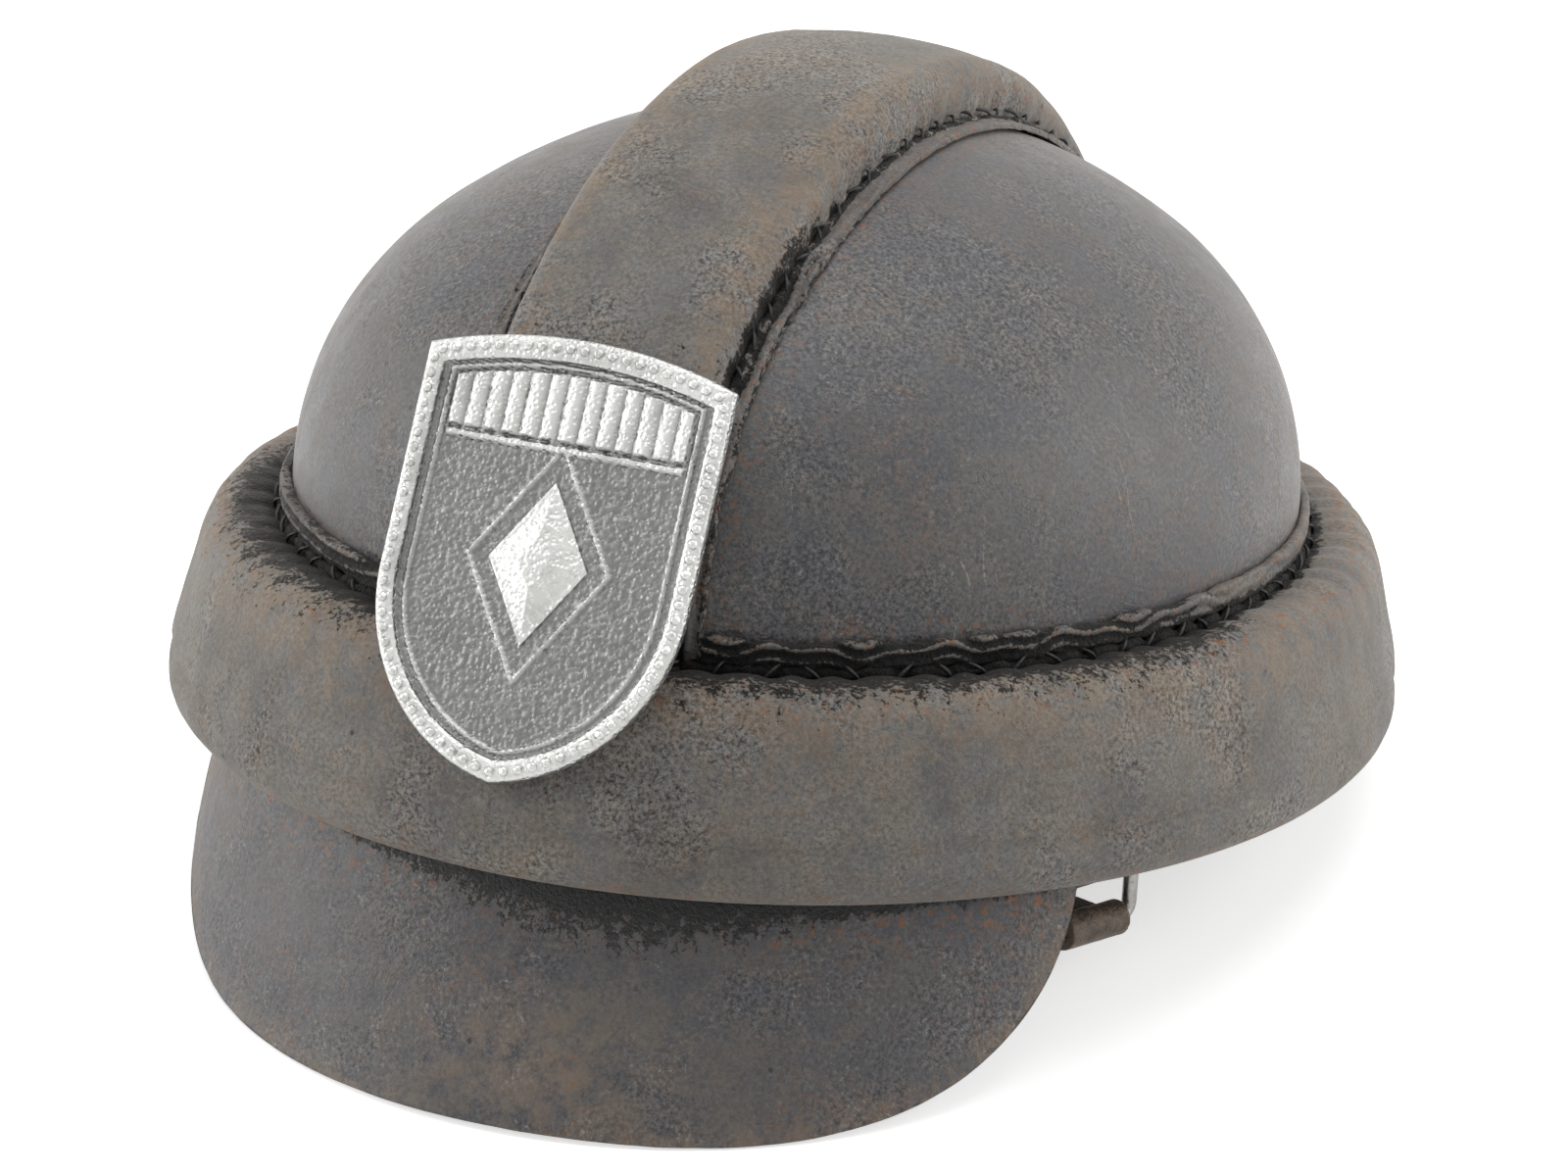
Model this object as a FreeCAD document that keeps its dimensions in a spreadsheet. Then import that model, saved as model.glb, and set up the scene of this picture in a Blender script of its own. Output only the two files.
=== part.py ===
import FreeCAD, Part
import Sketcher
import math
import os
import re
from FreeCAD import Placement, Rotation, Vector

# Leather crash helmet with a padded crest, a padded ring, a visor, a sewn liner and a chin strap.
# The helmet is drawn upright: the ring's underside lies at height 0, the front looks along -Y
# and the wearer's left is +X. At the end it is set down as it stands on a table, on the visor's
# edge and the rear of the ring. Lengths are millimetres and angles are degrees.

SIZES = {
    # Shell: drawn round and stretched front to back by the oval's share
    "shell_half_width": 107, "oval_share": 1.15, "shell_rim": 2, "shoulder_at": 37,
    "crown_top": 132.3, "crown_flat": 24.7, "shell_wall": 4,
    # Gaps between sewn layers, running clearance at pins, and one overrun for every cut
    "seat_gap": 0.3, "pin_play": 0.05, "overrun": 5,
    # Crest
    "crest_half_width": 25, "crest_foot_rise": 7, "crest_rise": 14, "crest_shoulder_at": 36,
    "crest_round": 6, "crest_foot_gap": 0.5,
    # Ring round the foot of the dome
    "ring_top": 44.3, "ring_seam_drop": 2.8, "ring_tuck": 6, "ring_shoulder_at": 9.3,
    "ring_reach": 24, "ring_round": 8, "ring_flange_at": 5.4, "ring_flange": 14,
    "cover_leather": 2,
    # Flat welts on the dome
    "welt_width": 5, "welt_leather": 2,
    # Visor: the strip sewn in behind the ring, the flare below it, and its round-cut edge
    "visor_leather": 3, "visor_strip_at": 2.1, "visor_strip": 14, "visor_base_at": 12.6,
    "visor_flare": 14.7, "visor_edge_radius": 73, "visor_edge_ahead": 27.8, "visor_edge_up": 22,
    # Rim binding
    "binding_leather": 1.5, "binding_leg": 8,
    # Sweatband and pads
    "sweatband_at": 20, "sweatband_leather": 2, "sweatband_low": 3, "sweatband_bend": 16,
    "sweatband_top": 44, "pad_low": 18, "pad_high": 42, "side_pad_length": 68,
    "end_pad_length": 84,
    # Crown of the liner
    "tongue_count": 8, "tongue_spread": 38, "tongue_tip": 18, "crown_disc": 26, "crown_pad": 50,
    # Strap anchors: leather loops riveted inside the shell, seen from the front by their angle
    "anchor_turn": 67, "tab_leather": 3.4, "tab_gap": 0.7, "tab_width": 18, "tab_top": 34,
    "tab_eye_drop": 9, "tab_eye_wall": 1.8, "rivet_up": 24, "rivet_radius": 2,
    "rivet_head": 4.5, "rivet_head_high": 1.2,
    # Steel rings between loops and straps
    "ring_wire": 1.6, "loop_drop": 13, "loop_corner": 3, "loop_side_gap": 0.5,
    # Straps
    "strap_width": 18, "strap_leather": 2.2, "long_strap": 176, "hole_radius": 1.6,
    "hole_pitch": 14, "hole_first": 62, "hole_count": 7, "short_strap": 40,
    "floor_gap": 0.5,
    # Buckle
    "buckle_wire": 1.5, "buckle_length": 18, "buckle_corner": 3, "roller_radius": 2.7,
    "prong_width": 2.6, "prong_thick": 1.8, "prong_over": 3, "prong_slot": 4,
    "prong_eye_wall": 1.2,
    "keeper_at": 20, "keeper_length": 8, "keeper_leather": 1.5, "keeper_room": 2.8,
    # Badge over the crest's foot
    "badge_half_width": 34, "badge_above": 24, "badge_below": 22, "badge_point": 62,
    "badge_thick": 3.2, "badge_rim": 4, "badge_field": 1.2, "badge_top_bow": 110,
    "boss_half_width": 11, "boss_half_height": 17, "boss_high": 2.4, "boss_drop": 17,
    "boss_top_share": 0.34, "badge_point_share": 1.2,
    "stud_spread": 13, "stud_radius": 2, "stud_spare": 1.5, "washer_radius": 5,
    "washer_thick": 1, "nut_radius": 4, "nut_thick": 3.2,
}

# Sizes that follow from others: the dome stays as flat over its width and keeps its shoulder
# line, and the crest's foot, the ring's seam and the visor's edge keep their places beside it
FOLLOWS = {
    "shoulder_radius": "(shell_half_width - shoulder_at)",
    "wall_top": "(crown_top + crown_flat - shell_half_width)",
    "crest_shoulder": "(shell_half_width + crest_foot_rise - crest_shoulder_at)",
    "crest_foot": "(ring_top + crest_foot_gap)",
    "ring_seam": "(ring_top - ring_seam_drop)",
    "visor_edge_back": "(shell_half_width + visor_edge_ahead)",
}
NAME = re.compile(r"[a-z]\w*")

# How closely an edge has to match a plane to be picked for rounding
MATCH_SHARE = 0.001

doc = FreeCAD.newDocument("helmet")
sheet = doc.addObject("Spreadsheet::Sheet", "sizes")
NODES = {}


def fill_sheet():
    """One row for each size: its name, and its number under that alias."""
    for row, (name, number) in enumerate(SIZES.items(), start=1):
        sheet.set("A%d" % row, name)
        sheet.set("B%d" % row, str(number))
        sheet.setAlias("B%d" % row, name)
    doc.recompute()


def link(formula):
    """The formula with each size's name pointing at its cell in the sheet."""
    spelled = NAME.sub(lambda m: FOLLOWS.get(m[0], m[0]), str(formula))
    return NAME.sub(lambda m: "sizes." + m[0] if m[0] in SIZES else m[0], spelled)


def value(formula):
    return float(sheet.evalExpression(link(formula)))


def bind(thing, **formulas):
    """Tie properties of an object to formulas of the sheet."""
    for name, formula in formulas.items():
        thing.setExpression(name.replace("_at_", "."), link(formula))


def origin_plane(body, role):
    return [part for part in body.Origin.OriginFeatures if part.Role == role][0]


def new_sketch(body, role):
    """An empty sketch on one of the body's own planes."""
    sketch = body.newObject("Sketcher::SketchObject", body.Name + "_sketch")
    sketch.AttachmentSupport = [(origin_plane(body, role), "")]
    sketch.MapMode = "FlatFace"
    return sketch


def arc_between(start, end, radius, turn):
    """The lesser arc from start to end; turn is 1 anticlockwise and -1 clockwise."""
    middle = (start + end) * 0.5
    chord = end - start
    reach = math.sqrt(max(radius ** 2 - chord.Length ** 2 / 4, 0))
    side = Vector(-chord.y, chord.x, 0).normalize() * turn
    centre = middle + side * reach
    first, last = (start, end) if turn > 0 else (end, start)
    low = math.atan2(first.y - centre.y, first.x - centre.x)
    high = math.atan2(last.y - centre.y, last.x - centre.x)
    return Part.ArcOfCircle(Part.Circle(centre, Vector(0, 0, 1), radius), low, high)


def draw(sketch, corners):
    """A closed outline. A corner is (across, up), reached by a line, or (across, up, radius,
    turn), reached by an arc. Every corner and radius is tied to its formula."""
    points = [Vector(value(c[0]), value(c[1]), 0) for c in corners]
    first = sketch.GeometryCount
    ends = []
    for number, corner in enumerate(corners):
        start = points[number - 1]
        if len(corner) == 2:
            sketch.addGeometry(Part.LineSegment(start, points[number]), False)
            ends.append((1, 2))
        else:
            arc = arc_between(start, points[number], value(corner[2]), corner[3])
            sketch.addGeometry(arc, False)
            ends.append((1, 2) if corner[3] > 0 else (2, 1))
    for number, corner in enumerate(corners):
        here = first + number
        after = (number + 1) % len(corners)
        end = ends[number][1]
        sketch.addConstraint(Sketcher.Constraint(
            "Coincident", here, end, first + after, ends[after][0]))
        for axis, formula in (("DistanceX", corner[0]), ("DistanceY", corner[1])):
            place = sketch.addConstraint(Sketcher.Constraint(
                axis, -1, 1, here, end, value(formula)))
            sketch.setExpression("Constraints[%d]" % place, link(formula))
        if len(corner) == 4:
            size = sketch.addConstraint(Sketcher.Constraint("Radius", here, value(corner[2])))
            sketch.setExpression("Constraints[%d]" % size, link(corner[2]))


def draw_circle(sketch, across, up, radius):
    centre = Vector(value(across), value(up), 0)
    number = sketch.addGeometry(Part.Circle(centre, Vector(0, 0, 1), value(radius)), False)
    for axis, formula in (("DistanceX", across), ("DistanceY", up)):
        place = sketch.addConstraint(Sketcher.Constraint(axis, -1, 1, number, 3, value(formula)))
        sketch.setExpression("Constraints[%d]" % place, link(formula))
    size = sketch.addConstraint(Sketcher.Constraint("Radius", number, value(radius)))
    sketch.setExpression("Constraints[%d]" % size, link(radius))


def turned(name, corners, spread=None, heading=0):
    """A section turned about the upright axis: all round, or over a spread about a heading."""
    body = doc.addObject("PartDesign::Body", name)
    sketch = new_sketch(body, "XZ_Plane")
    sketch.AttachmentOffset = Placement(Vector(), Rotation(Vector(0, 1, 0), heading))
    draw(sketch, corners)
    turn = body.newObject("PartDesign::Revolution", name + "_turn")
    turn.Profile = sketch
    turn.ReferenceAxis = (sketch, ["V_Axis"])
    turn.Angle = 360
    if spread:
        turn.Midplane = True
        bind(turn, Angle=spread)
    return body


def stretched(name, round_form):
    """The round form made oval, longer from front to back."""
    oval = doc.addObject("Part::Scale", name)
    oval.Base = round_form
    oval.Uniform = False
    bind(oval, YScale="oval_share")
    return oval


def squeezed(name, tool):
    """A tool for the round form, which has its true shape once that form is made oval."""
    placed = doc.addObject("Part::Compound", name + "_placed")
    placed.Links = [tool]
    narrow = doc.addObject("Part::Scale", name + "_squeezed")
    narrow.Base = placed
    narrow.Uniform = False
    bind(narrow, YScale="1 / oval_share")
    return narrow


def padded(name, role, corners, length, symmetric=True):
    """A pad of an outline drawn on one of the body's planes."""
    body = doc.addObject("PartDesign::Body", name)
    sketch = new_sketch(body, role)
    draw(sketch, corners)
    pad = body.newObject("PartDesign::Pad", name + "_pad")
    pad.Profile = sketch
    pad.Midplane = symmetric
    bind(pad, Length=length)
    return body


def block(name, low, high):
    """A box between two corners, each three formulas."""
    box = doc.addObject("Part::Box", name)
    bind(box, Length="(%s) - (%s)" % (high[0], low[0]), Width="(%s) - (%s)" % (high[1], low[1]),
         Height="(%s) - (%s)" % (high[2], low[2]), Placement_at_Base_at_x=low[0],
         Placement_at_Base_at_y=low[1], Placement_at_Base_at_z=low[2])
    return box


AXIS_TURN = {
    "x": Rotation(Vector(0, 1, 0), 90), "y": Rotation(Vector(1, 0, 0), -90),
    "z": Rotation(),
}


def rod(name, axis, base, radius, length):
    """A cylinder along an axis from a base point of three formulas."""
    cylinder = doc.addObject("Part::Cylinder", name)
    cylinder.Placement.Rotation = AXIS_TURN[axis]
    bind(cylinder, Radius=radius, Height=length, Placement_at_Base_at_x=base[0],
         Placement_at_Base_at_y=base[1], Placement_at_Base_at_z=base[2])
    return cylinder


def joined(name, *parts):
    fuse = doc.addObject("Part::MultiFuse", name)
    fuse.Shapes = list(parts)
    return fuse


def common(name, base, tool):
    both = doc.addObject("Part::Common", name)
    both.Base = base
    both.Tool = tool
    return both


def cut(name, base, *tools):
    """The base with every tool taken away."""
    for number, tool in enumerate(tools):
        rest = doc.addObject("Part::Cut", name if number == len(tools) - 1 else name + "_less")
        rest.Base = base
        rest.Tool = tool
        base = rest
    return base


def oval_node(label, round_form):
    """A finished sub-part that was drawn round."""
    return node(label, stretched(label + "_oval", round_form))


def node(label, thing, frame=Placement()):
    """Name a finished sub-part and keep the frame that it was drawn in."""
    thing.Label = label
    NODES[label] = (thing, frame)
    return thing


# The dome's outline is a wall, a shoulder arc and a crown arc, tangent to each other

def crown_radius(half, shoulder, top):
    rise = "(%s - wall_top)" % top
    return "((({0})^2 + {1}^2 - 2 * ({0}) * ({2})) / (2 * {1} - 2 * ({2})))".format(
        half, rise, shoulder)


def crown_edge(half, shoulder, top, reach="0"):
    """Corners up the outside of a dome, from the wall's foot's line to a reach from the axis."""
    crown = crown_radius(half, shoulder, top)
    share = "(%s / (%s - (%s)))" % (crown, crown, shoulder)
    centre = "(%s - %s)" % (top, crown)
    join_across = "(%s - (%s)) * %s" % (half, shoulder, share)
    join_up = "%s + (wall_top - %s) * %s" % (centre, centre, share)
    end_up = "%s + sqrt(%s^2 - (%s)^2)" % (centre, crown, reach)
    return [(half, "wall_top"), (join_across, join_up, shoulder, 1), (reach, end_up, crown, 1)]


def back_down(edge, foot):
    """The same corners from the far end to the foot, for the inside of a layer."""
    start, join, end = edge
    return [end[:2], (join[0], join[1], end[2], -1), (start[0], start[1], join[2], -1), foot]


def offset_edge(offset, reach="0"):
    """The shell's outside moved outwards by an offset."""
    return crown_edge("(shell_half_width + %s)" % offset, "(shoulder_radius + %s)" % offset,
                      "(crown_top + %s)" % offset, reach)


def dome_layer(inner, outer, low, reach="0"):
    """Outline of a layer that follows the shell, between two offsets, above a height."""
    inner_foot = ("shell_half_width + %s" % inner, low)
    outer_foot = ("shell_half_width + %s" % outer, low)
    inside = back_down(offset_edge(inner, reach), inner_foot)
    return [outer_foot] + offset_edge(outer, reach) + inside


def dome_block(edge, low):
    """Outline of all that lies under an edge and above a height."""
    return [("0", low), (edge[0][0], low)] + edge


def cap_layer(inner, outer, radius):
    """Outline of a layer that follows the shell's crown out to a radius."""
    low, high = offset_edge(inner, radius)[2], offset_edge(outer, radius)[2]
    low_top, high_top = offset_edge(inner)[2], offset_edge(outer)[2]
    return [low_top[:2], (low[0], low[1], low[2], -1), high[:2],
            (high_top[0], high_top[1], high_top[2], 1)]


def inner_surface_depth(point, direction):
    """How far a line from a point goes before it comes out inside the shell."""
    half = value("shell_half_width - shell_wall")
    shoulder = value("shoulder_radius - shell_wall")
    share = value("oval_share")
    wall_top = value("wall_top")

    def outside(depth):
        spot = point + direction * depth
        across = math.hypot(spot.x, spot.y / share)
        over = math.hypot(max(across - (half - shoulder), 0), max(spot.z - wall_top, 0))
        return over > shoulder

    near, far = 0.0, half
    for _ in range(40):
        middle = (near + far) / 2
        near, far = (middle, far) if outside(middle) else (near, middle)
    return near


def make_shell(bores):
    shell = turned("shell_layer", dome_layer("(0 - shell_wall)", "0", "shell_rim"))
    oval_node("dome_shell", cut("shell_bored", shell, *bores))


# Crest: a stuffed leather channel over a felt core, its foot on the dome

def crest_block(name, inset):
    """The crest's solid form over the dome, moved inwards by an inset, its top edges rounded."""
    edge = crown_edge("(shell_half_width + crest_foot_rise - (%s))" % inset,
                      "(crest_shoulder - (%s))" % inset, "(crown_top + crest_rise - (%s))" % inset)
    low = "crest_foot + %s" % inset
    form = turned(name + "_form", dome_block(edge, low))
    half = "crest_half_width - (%s)" % inset
    length = "shell_half_width + crest_foot_rise + overrun"
    slab = block(name + "_slab", ("-(%s)" % half, "-(%s)" % length, low),
                 (half, length, "crown_top + crest_rise + overrun"))
    strip = common(name + "_strip", form, slab)
    doc.recompute()
    fillet = doc.addObject("Part::Fillet", name)
    fillet.Base = strip
    radius = value("crest_round - (%s)" % inset)
    side = value(half)
    foot = value(low)
    chosen = []
    for number, rim in enumerate(strip.Shape.Edges, start=1):
        spots = [rim.valueAt(rim.FirstParameter + (rim.LastParameter - rim.FirstParameter) * s)
                 for s in (0.1, 0.5, 0.9)]
        on_side = all(math.isclose(abs(spot.x), side, rel_tol=MATCH_SHARE) for spot in spots)
        above_foot = max(spot.z for spot in spots) > foot * (1 + MATCH_SHARE)
        if on_side and above_foot:
            chosen.append((number, radius, radius))
    fillet.Edges = chosen
    return fillet


def make_crest(dome_outside, bores):
    outside = crest_block("crest_outside", "0")
    cavity = crest_block("crest_cavity", "cover_leather")
    filling = crest_block("crest_filling", "cover_leather + seat_gap")
    oval_node("crest_cover", cut("crest_skin", outside, cavity, dome_outside, *bores))
    oval_node("crest_core", cut("crest_felt", filling, dome_outside, *bores))


def make_welts():
    """Flat strips on the dome beside the crest, and above the ring on each side of it."""
    layer = dome_layer("seat_gap", "(seat_gap + welt_leather)", "crest_foot")
    length = "shell_half_width * 2"
    near = "crest_half_width + seat_gap"
    far = "crest_half_width + seat_gap + welt_width"
    beyond = "shell_half_width + welt_leather + overrun"
    for side, sign in (("left", 1), ("right", -1)):
        strip = turned("crest_welt_layer_" + side, layer)
        ends = (near, far) if sign > 0 else ("-(%s)" % far, "-(%s)" % near)
        beside = block("crest_welt_slab_" + side, (ends[0], "-(%s)" % length, "crest_foot"),
                       (ends[1], length, "crown_top + crest_rise"))
        oval_node("crest_welt_" + side, common("crest_welt_strip_" + side, strip, beside))
        ring = turned("ring_welt_layer_" + side, layer)
        start = far + " + seat_gap"
        ends = (start, beyond) if sign > 0 else ("-(%s)" % beyond, "-(%s)" % start)
        above = block("ring_welt_slab_" + side, (ends[0], "-(%s)" % length, "crest_foot"),
                      (ends[1], length, "crest_foot + welt_width"))
        oval_node("band_welt_" + side, common("ring_welt_strip_" + side, ring, above))


# Ring: a leather cover with two round corners joined by a slanted wall, over a felt core

def ring_path(inset):
    """Corners of the ring's outside from the dome's seam to its underside, moved inwards."""
    shoulder = ("(shell_half_width + ring_shoulder_at)", "(ring_top - ring_round)")
    corner = ("(shell_half_width + ring_reach - ring_round)", "ring_round")
    run = "sqrt((%s - %s)^2 + (%s - %s)^2)" % (shoulder[0], corner[0], shoulder[1], corner[1])
    out_x = "((%s - %s) / %s)" % (shoulder[1], corner[1], run)
    out_z = "((%s - %s) / %s)" % (corner[0], shoulder[0], run)
    radius = "(ring_round - (%s))" % inset
    start_x = "(shell_half_width + seat_gap + %s)" % inset
    puff_run = "(ring_shoulder_at - seat_gap)"
    puff = "((%s^2 + (ring_top - ring_seam)^2) / (2 * (ring_top - ring_seam)))" % puff_run
    puff_inner = "(%s - (%s))" % (puff, inset)
    seam = "ring_top - {0} + sqrt({1}^2 - ({2} - {3})^2)".format(
        puff, puff_inner, shoulder[0], start_x)
    return [
        (start_x, seam),
        (shoulder[0], "ring_top - (%s)" % inset, puff_inner, -1),
        (shoulder[0] + " + %s * %s" % (radius, out_x), shoulder[1] + " + %s * %s" % (radius, out_z),
         radius, -1),
        (corner[0] + " + %s * %s" % (radius, out_x), corner[1] + " + %s * %s" % (radius, out_z)),
        (corner[0], inset, radius, -1),
    ]


def reversed_path(path):
    """The same path walked from its far end."""
    back = [path[-1][:2]]
    for after, before in zip(path[::-1], path[-2::-1]):
        back.append(before[:2] + ((after[2], -after[3]) if len(after) == 4 else ()))
    return back


def make_ring():
    outside = ring_path("0")
    inside = ring_path("cover_leather")
    tuck = "ring_seam - ring_tuck"
    flange = "shell_half_width + ring_flange_at"
    flange_inner = flange + " + cover_leather"
    cover = [("shell_half_width + seat_gap", tuck)] + outside + [
        (flange, "0"), (flange, "ring_flange"), (flange_inner, "ring_flange"),
        (flange_inner, "cover_leather")] + reversed_path(inside) + [
        ("shell_half_width + seat_gap + cover_leather", tuck)]
    oval_node("band_cover", turned("ring_skin", cover))
    filling = "cover_leather + seat_gap"
    core = ring_path(filling) + [
        (flange_inner + " + seat_gap", filling), (flange_inner + " + seat_gap",
                                                  "ring_flange + seat_gap"),
        ("shell_half_width + seat_gap", "ring_flange + seat_gap"),
        ("shell_half_width + seat_gap", tuck + " - seat_gap"),
        ("shell_half_width + seat_gap + %s" % filling, tuck + " - seat_gap")]
    oval_node("band_core", turned("ring_felt", core))


def make_visor():
    """A strip behind the ring, a step out under it, and the flared visor with a round edge."""
    strip = "shell_half_width + visor_strip_at"
    base = "shell_half_width + visor_base_at"
    low = "(visor_edge_radius - visor_edge_up + overrun)"
    flare = "%s * tan(visor_flare)" % low
    wall = "visor_leather / cos(visor_flare)"
    step = "0 - seat_gap - visor_leather"
    section = turned("visor_section", [
        (strip, "visor_strip"), (strip, step),
        ("%s - %s + (seat_gap + visor_leather) * tan(visor_flare)" % (base, wall), step),
        ("%s + %s - %s" % (base, flare, wall), "-" + low), ("%s + %s" % (base, flare), "-" + low),
        (base, "0 - seat_gap"), (strip + " + visor_leather", "0 - seat_gap"),
        (strip + " + visor_leather", "visor_strip")])
    wide = "(shell_half_width + visor_base_at + %s)" % flare
    edge = rod("visor_edge", "x", ("-" + wide, "-visor_edge_back", "visor_edge_up"),
               "visor_edge_radius", "2 * " + wide)
    oval_node("visor", common("visor_cut", section, edge))


def make_binding():
    inner = "shell_half_width - shell_wall - seat_gap"
    outer = "shell_half_width + seat_gap"
    high = "shell_rim + binding_leg"
    oval_node("rim_binding", turned("binding_strip", [
        (inner, high), (inner + " - binding_leather", high),
        (inner + " - binding_leather", "shell_rim - seat_gap - binding_leather"),
        (outer + " + binding_leather", "shell_rim - seat_gap - binding_leather"),
        (outer + " + binding_leather", high), (outer, high),
        (outer, "shell_rim - seat_gap"), (inner, "shell_rim - seat_gap")]))


def make_sweatband():
    """It rises from the rim, clear of the strap loops, and stands off the shell by the pads."""
    foot = "shell_half_width - shell_wall - %s - 2 * seat_gap" % TAB_INNER
    wall = "shell_half_width - sweatband_at"
    oval_node("sweatband", turned("sweatband_strip", [
        (foot, "sweatband_low"), (wall, "sweatband_bend"), (wall, "sweatband_top"),
        (wall + " - sweatband_leather", "sweatband_top"),
        (wall + " - sweatband_leather", "sweatband_bend"),
        (foot + " - sweatband_leather", "sweatband_low")]))


def make_pads():
    """Felt between the sweatband and the shell: front, rear and both sides."""
    inner = "shell_half_width - sweatband_at + seat_gap"
    outer = "shell_half_width - shell_wall - seat_gap"
    ring = [(inner, "pad_low"), (outer, "pad_low"), (outer, "pad_high"), (inner, "pad_high")]
    far = "shell_half_width"
    side, end = "(side_pad_length / oval_share / 2)", "(end_pad_length / 2)"
    spans = {
        "front": (("-" + end, "-" + far), (end, "0")), "rear": (("-" + end, "0"), (end, far)),
        "left": (("0", "-" + side), (far, side)), "right": (("-" + far, "-" + side), ("0", side)),
    }
    for name, (low, high) in spans.items():
        felt = turned("pad_ring_" + name, ring)
        span = block("pad_span_" + name, low + ("pad_low",), high + ("pad_high",))
        oval_node(name + "_pad", common("pad_cut_" + name, felt, span))


def make_crown_liner():
    """Leather tongues from the sweatband to the crown, the disc that joins them and its pad."""
    outer = "(0 - sweatband_at)"
    inner = "(0 - sweatband_at - sweatband_leather)"
    section = dome_layer(inner, outer, "sweatband_top + seat_gap", "tongue_tip")
    count = SIZES["tongue_count"]
    for number in range(count):
        heading = (number + 0.5) * 360 / count
        lune = turned("tongue_%d_round" % number, section, "tongue_spread", heading)
        oval_node("liner_tongue_%d" % (number + 1), lune)
    disc_low = "(seat_gap - sweatband_at)"
    disc_high = "(seat_gap + sweatband_leather - sweatband_at)"
    disc = turned("disc_layer", cap_layer(disc_low, disc_high, "crown_disc"))
    oval_node("liner_disc", disc)
    pad_low = "(2 * seat_gap + sweatband_leather - sweatband_at)"
    pad_high = "(0 - shell_wall - seat_gap)"
    oval_node("crown_pad", turned("crown_felt", cap_layer(pad_low, pad_high, "crown_pad")))


# Strap anchors: each is drawn at the shell's inner face, its X pointing out of the helmet

TAB_OUTER = "(seat_gap + binding_leather + tab_gap)"
TAB_INNER = "(seat_gap + binding_leather + tab_gap + tab_leather)"
TAB_MIDDLE = "(seat_gap + binding_leather + tab_gap + tab_leather / 2)"
EYE_RADIUS = "(ring_wire + pin_play + tab_eye_wall)"
STRAP_EYE = "(ring_wire + pin_play + strap_leather)"


def anchor_frame(side):
    """The frame at the shell's inner face where a strap loop is riveted."""
    half = value("shell_half_width - shell_wall")
    length = half * value("oval_share")
    turn = math.radians(value("anchor_turn"))
    spot = Vector(side * half * math.sin(turn), -length * math.cos(turn), 0)
    outward = Vector(side * length * math.sin(turn), -half * math.cos(turn), 0)
    heading = math.degrees(math.atan2(outward.y, outward.x))
    return Placement(spot, Rotation(Vector(0, 0, 1), heading))


def shift(frame, across, along, up):
    return frame.multiply(Placement(Vector(value(across), value(along), value(up)), Rotation()))


def tilt(frame, angle):
    """The frame turned about its own Y axis."""
    return frame.multiply(Placement(Vector(), Rotation(Vector(0, 1, 0), angle)))


def make_tab(side, frame):
    """A folded leather strip: two layers sewn flat, open at the foot as an eye for the ring."""
    half = "tab_width / 2"
    strip = block("tab_strip_" + side, ("-" + TAB_INNER, "-" + half, "-tab_eye_drop"),
                  ("-" + TAB_OUTER, half, "tab_top"))
    eye = rod("tab_eye_" + side, "y", ("-" + TAB_MIDDLE, "-" + half, "-tab_eye_drop"),
              EYE_RADIUS, "tab_width")
    bore = rod("tab_bore_" + side, "y", ("-" + TAB_MIDDLE, "-" + half + " - overrun",
                                         "-tab_eye_drop"),
               "ring_wire + pin_play", "tab_width + 2 * overrun")
    hole = rod("tab_hole_" + side, "x", ("-" + TAB_INNER + " - overrun", "0", "rivet_up"),
               "rivet_radius + pin_play", "tab_leather + 2 * overrun")
    folded = joined("tab_fold_" + side, strip, eye)
    node(side + "_strap_loop", cut("tab_" + side, folded, bore, hole), frame)


def rivet_bore(side, frame):
    """The hole through the shell, in the helmet's own frame."""
    bore = doc.addObject("Part::Cylinder", "rivet_bore_" + side)
    bind(bore, Radius="rivet_radius + pin_play", Height="shell_wall + 2 * overrun")
    start = shift(frame, "-overrun", "0", "rivet_up")
    bore.Placement = start.multiply(Placement(Vector(), AXIS_TURN["x"]))
    return squeezed(bore.Name, bore)


def make_rivets(frames):
    """Both rivets: a head inside on the loop, and a shank that ends flush with the shell."""
    rivets = []
    for side, frame in frames.items():
        shank = rod("rivet_shank_" + side, "x", ("-" + TAB_INNER, "0", "0"), "rivet_radius",
                    "%s + shell_wall - seat_gap" % TAB_INNER)
        head = rod("rivet_head_" + side, "x", ("-(%s + rivet_head_high)" % TAB_INNER, "0", "0"),
                   "rivet_head", "rivet_head_high")
        rivet = joined("rivet_" + side, shank, head)
        rivet.Placement = shift(frame, "0", "0", "rivet_up")
        rivets.append(rivet)
    group = doc.addObject("Part::Compound", "rivets")
    group.Links = rivets
    node("anchor_rivets", group)


def wire_loop(name, wire, half, length, corner):
    """A rounded rectangle of wire. Its first bar lies on the Y axis, its last along -X."""
    body = doc.addObject("PartDesign::Body", name)
    path = new_sketch(body, "XY_Plane")
    run = "(%s) - (%s)" % (half, corner)
    near, far = "-(%s)" % corner, "-((%s) - (%s))" % (length, corner)
    draw(path, [
        ("0", run), (near, half, corner, 1), (far, half), ("-(%s)" % length, run, corner, 1),
        ("-(%s)" % length, "-(%s)" % run), (far, "-(%s)" % half, corner, 1),
        (near, "-(%s)" % half), ("0", "-(%s)" % run, corner, 1)])
    section = new_sketch(body, "XZ_Plane")
    draw_circle(section, "0", "0", wire)
    pipe = body.newObject("PartDesign::AdditivePipe", name + "_pipe")
    pipe.Profile = section
    pipe.Spine = (path, [])
    return body


def make_ring_loop(side, frame):
    half = "strap_width / 2 + loop_side_gap + loop_corner"
    loop = wire_loop("steel_loop_" + side, "ring_wire", half, "loop_drop", "loop_corner")
    node(side + "_ring", loop, tilt(frame, -90))


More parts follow.
